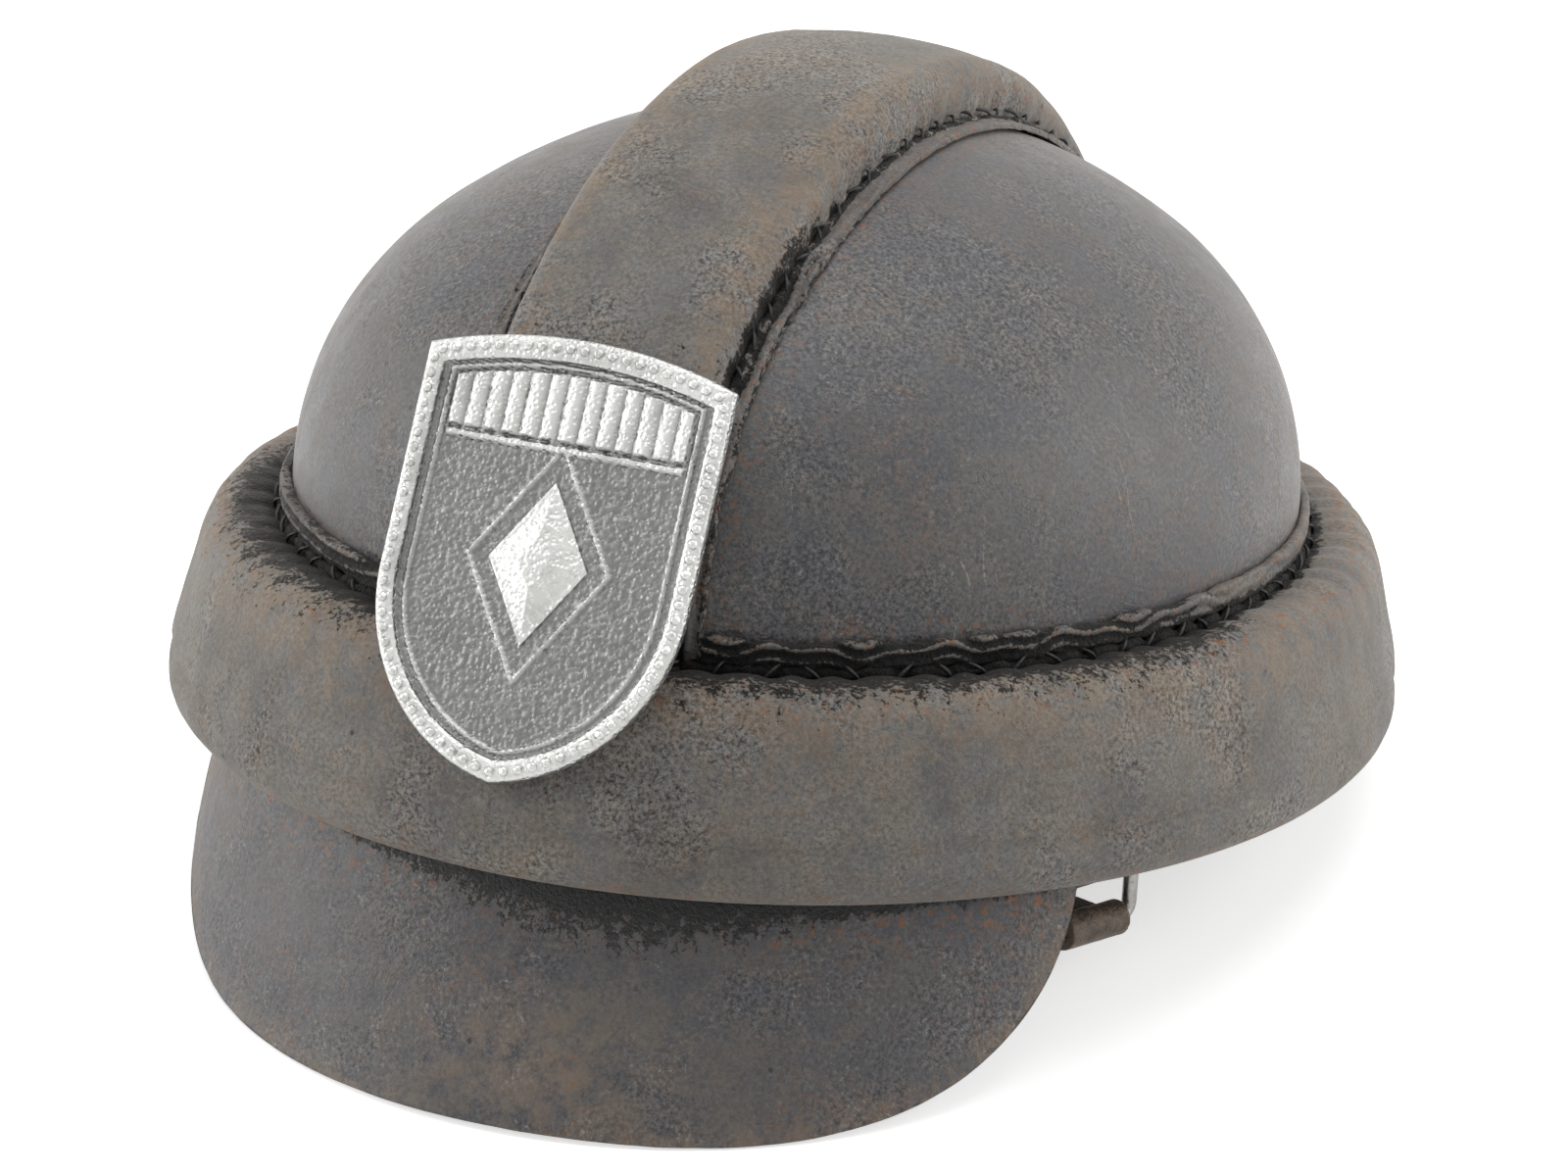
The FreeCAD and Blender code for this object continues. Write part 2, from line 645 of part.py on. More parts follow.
def strap_slope(frame, reach, half_thick):
    """The angle below level at which a strap that points inwards ends just over the table."""
    table = table_tilt()
    drop = TABLE_LIFT + frame.Base.z * math.cos(table) - frame.Base.y * math.sin(table)
    inward = frame.Rotation.multVec(Vector(-1, 0, 0))
    fall = (drop - half_thick - value("floor_gap")) / reach - inward.y * math.sin(table)
    return math.degrees(math.asin(fall / math.cos(table)))


def make_long_strap(frame):
    """Left strap: an eye round the ring, seven punched holes and a rounded end."""
    half = "strap_width / 2"
    tip = "-(long_strap - strap_width / 2)"
    body = padded("long_strap_body", "XY_Plane", [
        ("0", half), (tip, half), ("-long_strap", "0", half, 1), (tip, "-" + half, half, 1),
        ("0", "-" + half)], "strap_leather")
    punch = new_sketch(body, "XY_Plane")
    draw_circle(punch, "-hole_first", "0", "hole_radius")
    hole = body.newObject("PartDesign::Pocket", "strap_hole")
    hole.Profile = punch
    hole.Type = "ThroughAll"
    hole.Midplane = True
    doc.recompute()
    row = body.newObject("PartDesign::LinearPattern", "strap_holes")
    row.Originals = [hole]
    row.Direction = (punch, ["H_Axis"])
    row.Reversed = True
    bind(row, Length="hole_pitch * (hole_count - 1)", Occurrences="hole_count")
    body.Tip = row
    node("left_strap", strap_with_eye("left", body), frame)


def strap_with_eye(side, body):
    """A strap's body with the fold that holds it to its ring."""
    base = ("0", "-strap_width / 2")
    fold = rod("strap_fold_" + side, "y", base + ("0",), STRAP_EYE, "strap_width")
    bore = rod("strap_bore_" + side, "y", ("0", "-strap_width / 2 - overrun", "0"),
               "ring_wire + pin_play", "strap_width + 2 * overrun")
    return cut("strap_" + side, joined("strap_whole_" + side, body, fold), bore)


def make_short_strap(frame):
    """Right strap: an eye round the ring, and a slotted fold round the buckle's bar."""
    half = "strap_width / 2"
    body = block("short_strap_body", ("-short_strap", "-" + half, "-strap_leather / 2"),
                 ("0", half, "strap_leather / 2"))
    eyed = strap_with_eye("right", body)
    fold_radius = "(buckle_wire + pin_play + strap_leather)"
    fold = rod("buckle_fold", "y", ("-short_strap", "-" + half, "0"), fold_radius, "strap_width")
    bore = rod("buckle_bore", "y", ("-short_strap", "-" + half + " - overrun", "0"),
               "buckle_wire + pin_play", "strap_width + 2 * overrun")
    slot = block("prong_slot_cut", ("-(short_strap + %s + overrun)" % fold_radius,
                                    "-prong_slot / 2", "-(%s + overrun)" % fold_radius),
                 ("-(short_strap - %s - prong_slot / 2)" % fold_radius, "prong_slot / 2",
                  "%s + overrun" % fold_radius))
    whole = joined("short_strap_whole", eyed, fold)
    node("right_strap", cut("short_strap_cut", whole, bore, slot), frame)


def make_keeper(frame):
    """A leather loop that slides on the short strap and leaves room for the long one."""
    play = "seat_gap"
    wide = "strap_width / 2 + " + play
    low = "-(strap_leather / 2 + %s)" % play
    high = "strap_leather / 2 + keeper_room"
    near, far = "-(keeper_at + keeper_length / 2)", "-(keeper_at - keeper_length / 2)"
    outside = block("keeper_outside", (near, "-(%s + keeper_leather)" % wide,
                                       "%s - keeper_leather" % low),
                    (far, wide + " + keeper_leather", high + " + keeper_leather"))
    inside = block("keeper_inside", (near + " - overrun", "-(%s)" % wide, low),
                   (far + " + overrun", wide, high))
    node("strap_keeper", cut("keeper", outside, inside), frame)


def make_buckle(frame):
    """Wire frame, roller on its outer bar and prong on its inner bar, drawn at the inner bar."""
    half = "strap_width / 2 + loop_side_gap + buckle_corner"
    wire = wire_loop("buckle_wire_loop", "buckle_wire", half, "buckle_length", "buckle_corner")
    node("buckle_frame", wire, frame)
    roller_half = "(strap_width / 2)"
    tube = rod("roller_tube", "y", ("-buckle_length", "-" + roller_half, "0"), "roller_radius",
               "2 * " + roller_half)
    bore = rod("roller_bore", "y", ("-buckle_length", "-" + roller_half + " - overrun", "0"),
               "buckle_wire + pin_play", "2 * %s + 2 * overrun" % roller_half)
    node("buckle_roller", cut("roller", tube, bore), frame)
    eye_radius = "(buckle_wire + pin_play + prong_eye_wall)"
    eye = rod("prong_eye", "y", ("0", "-prong_width / 2", "0"), eye_radius, "prong_width")
    arm = block("prong_arm", ("-(buckle_length + prong_over)", "-prong_width / 2",
                              "-prong_thick / 2"), ("0", "prong_width / 2", "prong_thick / 2"))
    hole = rod("prong_bore", "y", ("0", "-prong_width / 2 - overrun", "0"),
               "buckle_wire + pin_play", "prong_width + 2 * overrun")
    lift = value("roller_radius + prong_thick / 2 + pin_play * 2")
    angle = math.degrees(math.asin(lift / value("buckle_length")))
    node("buckle_prong", cut("prong", joined("prong_whole", eye, arm), hole), tilt(frame, angle))


# Table: the helmet stands on the visor's round-cut edge and the ring's rear corner

def table_tilt():
    """The slope of the line that touches the visor's edge and the ring's corner from below."""
    along = value("oval_share * (shell_half_width + ring_reach - ring_round + visor_edge_back)")
    down = value("visor_edge_up - ring_round")
    slope = 0.0
    for _ in range(20):
        gain = oval_support("visor_edge_radius", slope) - oval_support("ring_round", slope)
        slope = math.asin(gain / math.hypot(along, down)) - math.atan2(down, along)
    return slope


def oval_support(radius, slope):
    """How far a round edge, made oval, reaches below its centre, square to a slope."""
    return value(radius) * math.hypot(value("oval_share") * math.sin(slope), math.cos(slope))


def table_lift():
    """Height of the drawing's origin over the table."""
    slope = table_tilt()
    edge = Vector(0, -value("oval_share * visor_edge_back"), value("visor_edge_up"))
    down = Vector(0, math.sin(slope), -math.cos(slope))
    return edge.dot(down) + oval_support("visor_edge_radius", slope)


# Badge: a cast shield that lies on the crest and on the ring's shoulder, held by two studs

def badge_frame():
    """Its lean is the one at which its back touches the crest and the ring alike."""
    share = value("oval_share")

    def support(centre, up, radius, lean):
        across, rise = math.cos(lean), math.sin(lean)
        return centre * across + up * rise + math.hypot(radius * share * across, radius * rise)

    crest = (value("shell_half_width + crest_foot_rise - crest_shoulder") * share,
             value("wall_top"), value("crest_shoulder"))
    ring = (value("shell_half_width + ring_shoulder_at") * share,
            value("ring_top - ring_round"), value("ring_round"))
    low, high = 0.0, math.pi / 3
    for _ in range(50):
        lean = (low + high) / 2
        low, high = (low, lean) if support(*crest, lean) > support(*ring, lean) else (lean, high)
    reach = support(*crest, lean) + value("seat_gap")
    stretch = math.hypot(crest[2] * share * math.cos(lean), crest[2] * math.sin(lean))
    touch_up = crest[1] + crest[2] ** 2 * math.sin(lean) / stretch
    normal = Vector(0, -math.cos(lean), math.sin(lean))
    along = Vector(0, math.sin(lean), math.cos(lean))
    base = normal * reach
    spot = base + along * ((touch_up - base.z) / along.z)
    return Placement(spot, Rotation(Vector(1, 0, 0), 90 - math.degrees(lean)))


def shield(inset):
    """Shield outline: a bowed top, straight sides and two arcs down to a point."""
    half = "(badge_half_width - (%s))" % inset
    top = "(badge_above - (%s))" % inset
    turn_down = "-badge_below"
    point = "-(badge_point - (%s) * badge_point_share)" % inset
    drop = "(badge_point - (%s) * badge_point_share - badge_below)" % inset
    side = "((%s^2 + %s^2) / (2 * %s))" % (half, drop, half)
    return [(half, turn_down, side, 1), (half, top), ("-" + half, top, "badge_top_bow", 1),
            ("-" + half, turn_down), ("0", point, side, 1)]


def make_badge(frame):
    plate = padded("badge_body", "XY_Plane", shield("0"), "badge_thick", False)
    field = doc.addObject("PartDesign::Body", "badge_field_body")
    sketch = new_sketch(field, "XY_Plane")
    draw(sketch, shield("badge_rim"))
    pad = field.newObject("PartDesign::Pad", "badge_field_pad")
    pad.Profile = sketch
    bind(pad, Length="badge_field + overrun")
    bind(field, Placement_at_Base_at_z="badge_thick - badge_field")
    half, tall = "boss_half_width", "boss_half_height"
    boss = doc.addObject("PartDesign::Body", "badge_boss_body")
    low = new_sketch(boss, "XY_Plane")
    draw(low, [(half, "-boss_drop"), ("0", "-boss_drop + %s" % tall),
               ("-" + half, "-boss_drop"), ("0", "-boss_drop - %s" % tall)])
    top = new_sketch(boss, "XY_Plane")
    share = " * boss_top_share"
    draw(top, [(half + share, "-boss_drop"), ("0", "-boss_drop + %s" % (tall + share)),
               ("-" + half + share, "-boss_drop"), ("0", "-boss_drop - %s" % (tall + share))])
    bind(top, AttachmentOffset_at_Base_at_z="boss_high")
    loft = boss.newObject("PartDesign::AdditiveLoft", "badge_boss")
    loft.Profile = low
    loft.Sections = [top]
    loft.Ruled = True
    bind(boss, Placement_at_Base_at_z="badge_thick - badge_field")
    node("badge_plate", joined("badge", cut("badge_dished", plate, field), boss), frame)


def stud_places():
    return {"left": "stud_spread", "right": "-stud_spread"}


def nut_depth(frame):
    """Distance from the badge's back to the washers, which touch the shell's curve by a rim."""
    inward = frame.Rotation.multVec(Vector(0, 0, -1))
    radius = value("washer_radius")
    depths = []
    for step in range(12):
        angle = math.radians(step * 30)
        spot = Vector(value("stud_spread") + radius * math.cos(angle), radius * math.sin(angle), 0)
        depths.append(inner_surface_depth(frame.multVec(spot), inward))
    return max(depths) + value("seat_gap")


def stud_bores(frame, depth):
    """Holes for the studs through shell and crest, in the helmet's own frame."""
    bores = []
    for side, across in stud_places().items():
        bore = doc.addObject("Part::Cylinder", "stud_bore_" + side)
        bind(bore, Radius="stud_radius + seat_gap")
        bore.Height = depth + 2 * value("overrun")
        bore.Placement = frame.multiply(Placement(
            Vector(value(across), 0, -depth - value("overrun")), Rotation()))
        bores.append(squeezed(bore.Name, bore))
    return bores


def make_stud_parts(frame, depth):
    """Studs on the badge's back, and the washers and nuts that draw it down from inside."""
    groups = {"badge_studs": [], "badge_washers": [], "badge_nuts": []}
    washer_face = -depth
    nut_face = washer_face - value("washer_thick")
    stud_end = nut_face - value("nut_thick + stud_spare")
    for side, across in stud_places().items():
        stud = doc.addObject("Part::Cylinder", "stud_" + side)
        bind(stud, Radius="stud_radius")
        stud.Height = -stud_end
        stud.Placement = Placement(Vector(value(across), 0, stud_end), Rotation())
        groups["badge_studs"].append(stud)
        washer = rod("washer_disc_" + side, "z", (across, "0", "0"), "washer_radius",
                     "washer_thick")
        nut = doc.addObject("Part::Prism", "nut_block_" + side)
        nut.Polygon = 6
        bind(nut, Circumradius="nut_radius", Height="nut_thick", Placement_at_Base_at_x=across)
        for thing, face, thick, kind in ((washer, washer_face, "washer_thick", "badge_washers"),
                                         (nut, nut_face, "nut_thick", "badge_nuts")):
            bore = rod(kind + "_bore_" + side, "z", (across, "0", "-overrun"),
                       "stud_radius + pin_play", thick + " + 2 * overrun")
            holed = cut(kind + "_" + side, thing, bore)
            holed.Placement = Placement(Vector(0, 0, face - value(thick)), Rotation())
            groups[kind].append(holed)
    for kind, parts in groups.items():
        group = doc.addObject("Part::Compound", kind)
        group.Links = parts
        node(kind, group, frame)


def stand_on_table():
    """Turn every sub-part to the resting pose, with the box's bottom centre as the origin."""
    rest = Placement(Vector(0, 0, TABLE_LIFT), Rotation(Vector(1, 0, 0), -math.degrees(
        table_tilt())))
    for thing, frame in NODES.values():
        thing.Placement = rest.multiply(frame)
    doc.recompute()
    check_objects()
    boxes =[thing.Shape.optimalBoundingBox(False, False) for thing, _ in NODES.values()]
    middle = (min(box.YMin for box in boxes) + max(box.YMax for box in boxes)) / 2
    rest.Base.y -= middle
    for thing, frame in NODES.values():
        thing.Placement = rest.multiply(frame)
    doc.recompute()
    return rest


def check_objects():
    """Stop with the names of all that failed to build."""
    failed = [thing.Name for thing in doc.Objects
              if any(word in thing.State for word in ("Invalid", "Error"))]
    empty = [label for label, (thing, _) in NODES.items()
             if thing.Shape.isNull() or not thing.Shape.isValid() or not thing.Shape.Solids]
    if failed or empty:
        raise RuntimeError("did not build: %s, no valid solid: %s" % (failed, empty))


def write_parts():
    check_objects()
    os.makedirs("parts", exist_ok=True)
    for label, (thing, _) in NODES.items():
        thing.Shape.exportStep("parts/%s.step" % label)
        print(label, len(thing.Shape.Solids), "solids,", len(thing.Shape.Faces), "faces,",
              round(thing.Shape.Volume), "mm3")


fill_sheet()
TABLE_LIFT = table_lift()
anchors = {"left": anchor_frame(1), "right": anchor_frame(-1)}
badge = badge_frame()
depth = nut_depth(badge)
studs = stud_bores(badge, depth)
dome_outside = turned("dome_outside", dome_block(offset_edge("seat_gap"), "shell_rim"))
make_shell(studs + [rivet_bore(side, frame) for side, frame in anchors.items()])
make_crest(dome_outside, studs)
make_welts()
make_ring()
make_visor()
make_binding()
make_sweatband()
make_pads()
make_crown_liner()
make_rivets(anchors)
for side, frame in anchors.items():
    make_tab(side, frame)
    make_ring_loop(side, shift(frame, "-" + TAB_MIDDLE, "0", "-tab_eye_drop"))
pivots = {side: shift(frame, "-" + TAB_MIDDLE, "0", "-(tab_eye_drop + loop_drop)")
          for side, frame in anchors.items()}
long_slope = strap_slope(pivots["left"], value("long_strap"), value("strap_leather / 2"))
short_slope = strap_slope(pivots["right"], value("short_strap + buckle_length + roller_radius"),
                          value("roller_radius"))
left_frame = tilt(pivots["left"], -long_slope)
right_frame = tilt(pivots["right"], -short_slope)
make_long_strap(left_frame)
make_short_strap(right_frame)
make_keeper(right_frame)
make_buckle(shift(right_frame, "-short_strap", "0", "0"))
make_badge(badge)
make_stud_parts(badge, depth)
rest = stand_on_table()
write_parts()
print("table tilt", round(math.degrees(table_tilt()), 3), "lift", round(TABLE_LIFT, 3))
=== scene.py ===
import math
import random
from contextlib import contextmanager

import bpy
import numpy as np
from bpy.props import FloatProperty, FloatVectorProperty, IntProperty, PointerProperty
from mathutils import Matrix, Vector
from mathutils.kdtree import KDTree


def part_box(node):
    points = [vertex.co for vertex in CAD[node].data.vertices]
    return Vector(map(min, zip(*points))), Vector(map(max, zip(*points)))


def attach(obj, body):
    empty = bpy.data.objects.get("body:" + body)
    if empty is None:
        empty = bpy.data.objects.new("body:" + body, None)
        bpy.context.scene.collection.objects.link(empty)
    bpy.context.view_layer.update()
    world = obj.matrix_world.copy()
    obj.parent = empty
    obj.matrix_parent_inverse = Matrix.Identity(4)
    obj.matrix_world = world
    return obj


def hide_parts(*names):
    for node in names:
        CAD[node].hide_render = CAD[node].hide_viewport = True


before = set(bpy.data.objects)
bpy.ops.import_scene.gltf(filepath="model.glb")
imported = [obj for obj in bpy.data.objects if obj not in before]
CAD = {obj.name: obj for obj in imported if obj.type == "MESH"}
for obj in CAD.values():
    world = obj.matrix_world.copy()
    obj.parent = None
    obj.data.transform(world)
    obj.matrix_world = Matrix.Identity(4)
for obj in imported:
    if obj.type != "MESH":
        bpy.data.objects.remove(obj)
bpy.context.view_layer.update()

bl_info = {
    "name": "Leather Motorcycle Helmet",
    "version": (1, 0, 0),
    "blender": (4, 5, 0),
    "location": "3D Viewport > Sidebar > Helmet",
    "description": "Dresses the helmet's solids in leather, felt, thread, steel and zinc",
    "category": "Object",
}

# How finely the meshes are laid, and how long the stuffed covers are blown up
PROFILE_STEP = 0.0018
STATION_STEP = 0.0014
DOME_STEPS = 360
RING_STEPS = 640
SIDE_STEPS = 10
UNDER_STEPS = 8
VISOR_COLUMNS = 261
VISOR_ROWS = 66
TUBE_SIDES = 8
CLOTH_FRAMES = 20

# Small distances that several pieces share: where leather lies against the shell, the stuffed
# covers' coarse grid, and the ring's seam, which the crest's two feet push outwards
BEDDED = 0.0003
COVER_GRID = 0.005
PAD_GRID = 0.004
CORD_OUT, CORD_UP = 0.0013, 0.0021
FOOT_OUT, FOOT_UP = 0.0066, 0.0030


# Sizes and colours

def length(name, metres, text):
    return FloatProperty(name=name, description=text, default=metres, unit="LENGTH", precision=5)


def degrees(name, angle, text):
    return FloatProperty(name=name, description=text, default=math.radians(angle),
                         subtype="ANGLE")


def shade(red, green, blue):
    """A colour read as 0 to 255 on a screen, as the linear values that materials use."""
    linear = []
    for level in (red / 255, green / 255, blue / 255):
        linear.append(level / 12.92 if level <= 0.04045 else ((level + 0.055) / 1.055) ** 2.4)
    return tuple(linear)


def colour(name, red, green, blue, text):
    return FloatVectorProperty(name=name, description=text, default=shade(red, green, blue),
                               subtype="COLOR", size=3, min=0, max=1)


class HelmetForm(bpy.types.PropertyGroup):
    """The helmet upright and round, before it is stretched to an oval and set down."""
    oval: FloatProperty(name="Oval", description="Length of the shell over its width",
                        default=1.15)
    lean: degrees("Lean", 10.0093, "Lean back of the helmet as it rests on its visor")
    rest_back: length("Rest place", 0.00479534, "Shift to the back of the helmet at rest")
    rest_lift: length("Rest lift", 0.0247458, "Height of the ring's underside over the table")
    shell_radius: length("Shell half width", 0.107, "Half the outer width of the shell")
    shell_rim: length("Shell rim", 0.002, "Height of the shell's rim")
    shell_wall: length("Shell wall", 0.004, "Thickness of the shell's hardened leather")
    wall_top: length("Wall top", 0.050, "Height where the upright wall starts to bend in")
    shoulder: length("Shoulder radius", 0.070, "Bend between the wall and the crown")
    crown_top: length("Crown top", 0.1323, "Height of the crown")
    crest_radius: length("Crest half length", 0.114, "Half the round crest's outer length")
    crest_shoulder: length("Crest shoulder", 0.078, "Bend of the crest over the shoulder")
    crest_top: length("Crest top", 0.1463, "Height of the crest")
    crest_foot: length("Crest foot", 0.0448, "Height of the crest's two ends")
    crest_half: length("Crest half width", 0.025, "Half the width of the crest")
    crest_round: length("Crest edge", 0.006, "Rounding of the crest's long edges")
    seam_radius: length("Ring seam radius", 0.1073, "Where the padded ring meets the shell")
    seam_height: length("Ring seam height", 0.0415, "Height of the padded ring's top seam")
    ring_top: length("Ring top", 0.0443, "Highest line of the padded ring")
    ring_shoulder: length("Ring shoulder", 0.1163, "Radius of the ring's highest line")
    ring_round: length("Ring corners", 0.008, "Rounding of the ring's outer corners")
    ring_foot: length("Ring foot", 0.123, "Radius at the centre of the ring's low corner")
    ring_inner: length("Ring flange", 0.1124, "Radius of the ring's inner flange")
    flange_top: length("Flange height", 0.014, "Height of the ring's inner flange")
    visor_strip: length("Visor strip", 0.1106, "Middle radius of the visor's hidden strip")
    visor_base: length("Visor base", 0.1196, "Outer radius of the visor under the ring")
    visor_flare: degrees("Visor flare", 14.7, "Lean of the visor away from upright")
    visor_leather: length("Visor leather", 0.003, "Thickness of the visor")
    visor_edge: length("Visor edge", 0.073, "Radius of the visor's round edge from the side")
    visor_edge_back: length("Visor edge centre", 0.1348, "Distance of that edge's centre")
    visor_edge_up: length("Visor edge height", 0.022, "Height of that edge's centre")
    badge_half: length("Badge half width", 0.034, "Half the width of the shield")
    badge_above: length("Badge top", 0.024, "Top corners of the shield over its middle")
    badge_below: length("Badge bend", 0.022, "Where the shield's sides start to turn in")
    badge_point: length("Badge point", 0.062, "Point of the shield below its middle")
    badge_bow: length("Badge top bow", 0.110, "Radius of the shield's bowed top")
    badge_thick: length("Badge thickness", 0.0032, "Thickness of the shield's rim")
    badge_rim: length("Badge rim", 0.004, "Width of the shield's raised rim")
    badge_field: length("Badge field", 0.0012, "Depth of the field inside the rim")
    badge_bar: length("Badge bar", 0.0065, "Height of the bar under the shield's reeded head")
    badge_reed: length("Badge reed", 0.0042, "Width of one reed in the shield's head")
    boss_half: length("Boss half width", 0.011, "Half the width of the lozenge boss")
    boss_tall: length("Boss half height", 0.017, "Half the height of the lozenge boss")
    boss_high: length("Boss height", 0.0024, "Height of the boss over the field")
    boss_drop: length("Boss drop", 0.017, "Middle of the boss below the shield's middle")
    badge_place: FloatVectorProperty(name="Badge place", subtype="TRANSLATION", precision=5,
                                     description="Middle of the shield's back, at rest",
                                     default=(0, -0.1051558, 0.1234102))
    badge_lean: degrees("Badge lean", 56.08548, "Lean of the shield from lying flat")


class HelmetSeams(bpy.types.PropertyGroup):
    """Stitches, and what they do to the padded leather."""
    pitch: length("Stitch pitch", 0.0088, "Distance from stitch to stitch")
    thread: length("Thread", 0.00042, "Radius of the waxed thread")
    cord: length("Seam cord", 0.0011, "Radius of the waxed cord in the seam")
    pucker: length("Pucker depth", 0.0011, "How far a stitch draws the padding in")
    pucker_width: length("Pucker width", 0.0021, "Half the width of a pucker")
    pucker_reach: length("Pucker reach", 0.0026, "How far from the seam a pucker is deepest")
    swell: length("Swell", 0.0009, "Unevenness of the padding")
    pressure: FloatProperty(name="Stuffing", description="How hard the padding presses",
                            default=4.0)
    puff: length("Puff", 0.0012, "The most that the padding swells a piece")
    seed: IntProperty(name="Seed", description="Start of the random draws", default=11)


class HelmetFinish(bpy.types.PropertyGroup):
    """Colours of the leathers, metals, felt and thread."""
    dome: colour("Dome", 83, 84, 88, "Hardened leather of the dome")
    dome_patina: colour("Dome patina", 109, 103, 93, "Olive brown bloom on the dome")
    cover: colour("Cover", 122, 121, 119, "Leather of the crest and the padded ring")
    cover_patina: colour("Cover patina", 140, 128, 112, "Brown bloom on the covers")
    cover_dark: colour("Cover dark", 76, 77, 80, "Worn dark patches on the covers")
    cover_edge: colour("Cover edge", 150, 132, 112, "Leather rubbed pale along its corners")
    welt: colour("Welt", 114, 113, 112, "Leather of the flat welts")
    visor: colour("Visor", 82, 82, 86, "Leather of the visor")
    smudge: colour("Smudge", 44, 42, 40, "Greasy dirt beside the seams")
    haze: colour("Haze", 214, 206, 196, "Dusty sheen that shows at a grazing angle")
    scuff: colour("Scuffs", 160, 156, 150, "Scratches and pale specks")
    rust: colour("Rust stains", 140, 91, 54, "Rusty stains along the seams")
    wax: colour("Wax", 15, 15, 16, "Black wax in the seams")
    liner: colour("Liner", 121, 92, 64, "Leather of the sweatband and tongues")
    liner_patina: colour("Liner patina", 142, 112, 80, "Leather of the liner rubbed pale")
    liner_dark: colour("Liner dark", 76, 55, 38, "Sweat stains on the liner")
    strap: colour("Straps", 66, 50, 38, "Leather of the chin straps")
    felt: colour("Felt", 118, 112, 104, "Grey felt of the pads")
    steel: colour("Steel", 158, 156, 152, "Nickelled steel")
    zinc: colour("Zinc", 200, 200, 197, "Cast zinc of the shield")
    zinc_dark: colour("Zinc recess", 84, 84, 82, "Tarnish in the shield's hollows")
    floor: colour("Floor", 235, 235, 235, "Floor and backdrop")


class HelmetStage(bpy.types.PropertyGroup):
    """Camera and lamps."""
    camera_place: FloatVectorProperty(name="Camera place", subtype="TRANSLATION", precision=5,
                                      description="Where the camera stands",
                                      default=(0.570568, -1.267963, 0.726688))
    camera_aim: FloatVectorProperty(name="Camera aim", subtype="TRANSLATION", precision=5,
                                    description="The point that the camera looks at",
                                    default=(-0.004487, 0.014149, 0.046159))
    camera_roll: degrees("Camera roll", -0.564, "Turn of the camera about its view")
    camera_lens: FloatProperty(name="Lens", description="Focal length in millimetres",
                               default=162.83, subtype="DISTANCE_CAMERA")
    floor_size: length("Floor size", 6.0, "Side of the floor")
    floor_glow: FloatProperty(name="Floor glow", description="Own light of the floor as seen",
                              default=0.62)
    lamp_share: FloatProperty(name="Lamps", description="Strength of all lamps", default=1.0)
    world_light: FloatProperty(name="World light", description="Strength of the surroundings",
                               default=0.29)


# Working by hand: selecting, editing, moving points

def clear_selection():
    if bpy.context.object and bpy.context.object.mode != "OBJECT":
        bpy.ops.object.mode_set(mode="OBJECT")
    bpy.ops.object.select_all(action="DESELECT")


def pick(*objects):
    clear_selection()
    for obj in objects:
        obj.select_set(True)
    bpy.context.view_layer.objects.active = objects[0]


@contextmanager
def editing(obj, everything=True):
    """Edit mode on one object, with all or nothing selected."""
    pick(obj)
    bpy.ops.object.mode_set(mode="EDIT")
    bpy.ops.mesh.select_mode(type="VERT")
    bpy.ops.mesh.select_all(action="SELECT" if everything else "DESELECT")
    yield
    bpy.ops.object.mode_set(mode="OBJECT")


def points_of(obj):
    flat = np.empty(3 * len(obj.data.vertices))
    obj.data.vertices.foreach_get("co", flat)
    return flat.reshape(-1, 3)


def normals_of(obj):
    flat = np.empty(3 * len(obj.data.vertices))
    obj.data.vertices.foreach_get("normal", flat)
    return flat.reshape(-1, 3)


def put_points(obj, points):
    obj.data.vertices.foreach_set("co", np.asarray(points, float).ravel())
    obj.data.update()


def push(obj, distance):
    """Moves every point along its normal."""
    put_points(obj, points_of(obj) + normals_of(obj) * distance[:, None])


def note(obj, **layers):
    """Keeps numbers from 0 to 1 on every point, for the materials to read."""
    for name, values in layers.items():
        layer = obj.data.attributes.get(name) or obj.data.attributes.new(name, "FLOAT", "POINT")
        values = np.broadcast_to(np.clip(values, 0, 1), len(obj.data.vertices))
        layer.data.foreach_set("value", values.astype(np.float32))


def close_up(obj):
    """Merges doubles and turns all faces outwards."""
    with editing(obj):
        bpy.ops.mesh.remove_doubles(threshold=1e-6)
        bpy.ops.mesh.normals_make_consistent(inside=False)


def modify(obj, kind, **settings):
    """Adds a modifier, sets it up and applies it."""
    pick(obj)
    added = obj.modifiers.new(kind.title(), kind)
    for key, setting in settings.items():
        setattr(added, key, setting)
    bpy.ops.object.modifier_apply(modifier=added.name)


def wrinkle(obj, size, depth, name):
    """Displaces the surface by a procedural texture of the given size and depth."""
    texture = bpy.data.textures.new(name, "CLOUDS")
    texture.noise_scale = size
    modify(obj, "DISPLACE", texture=texture, texture_coords="LOCAL", strength=depth,
           mid_level=0.5)


def even_skin(obj, voxel):
    """Remeshes the surface evenly."""
    obj.data.remesh_voxel_size = voxel
    pick(obj)
    bpy.ops.object.voxel_remesh()


def named(obj, name):
    obj.name = obj.data.name = name
    return obj


def duplicate(obj):
    """A copy of a piece, with its own mesh."""
    made = obj.copy()
    made.data = obj.data.copy()
    bpy.context.scene.collection.objects.link(made)
    return made


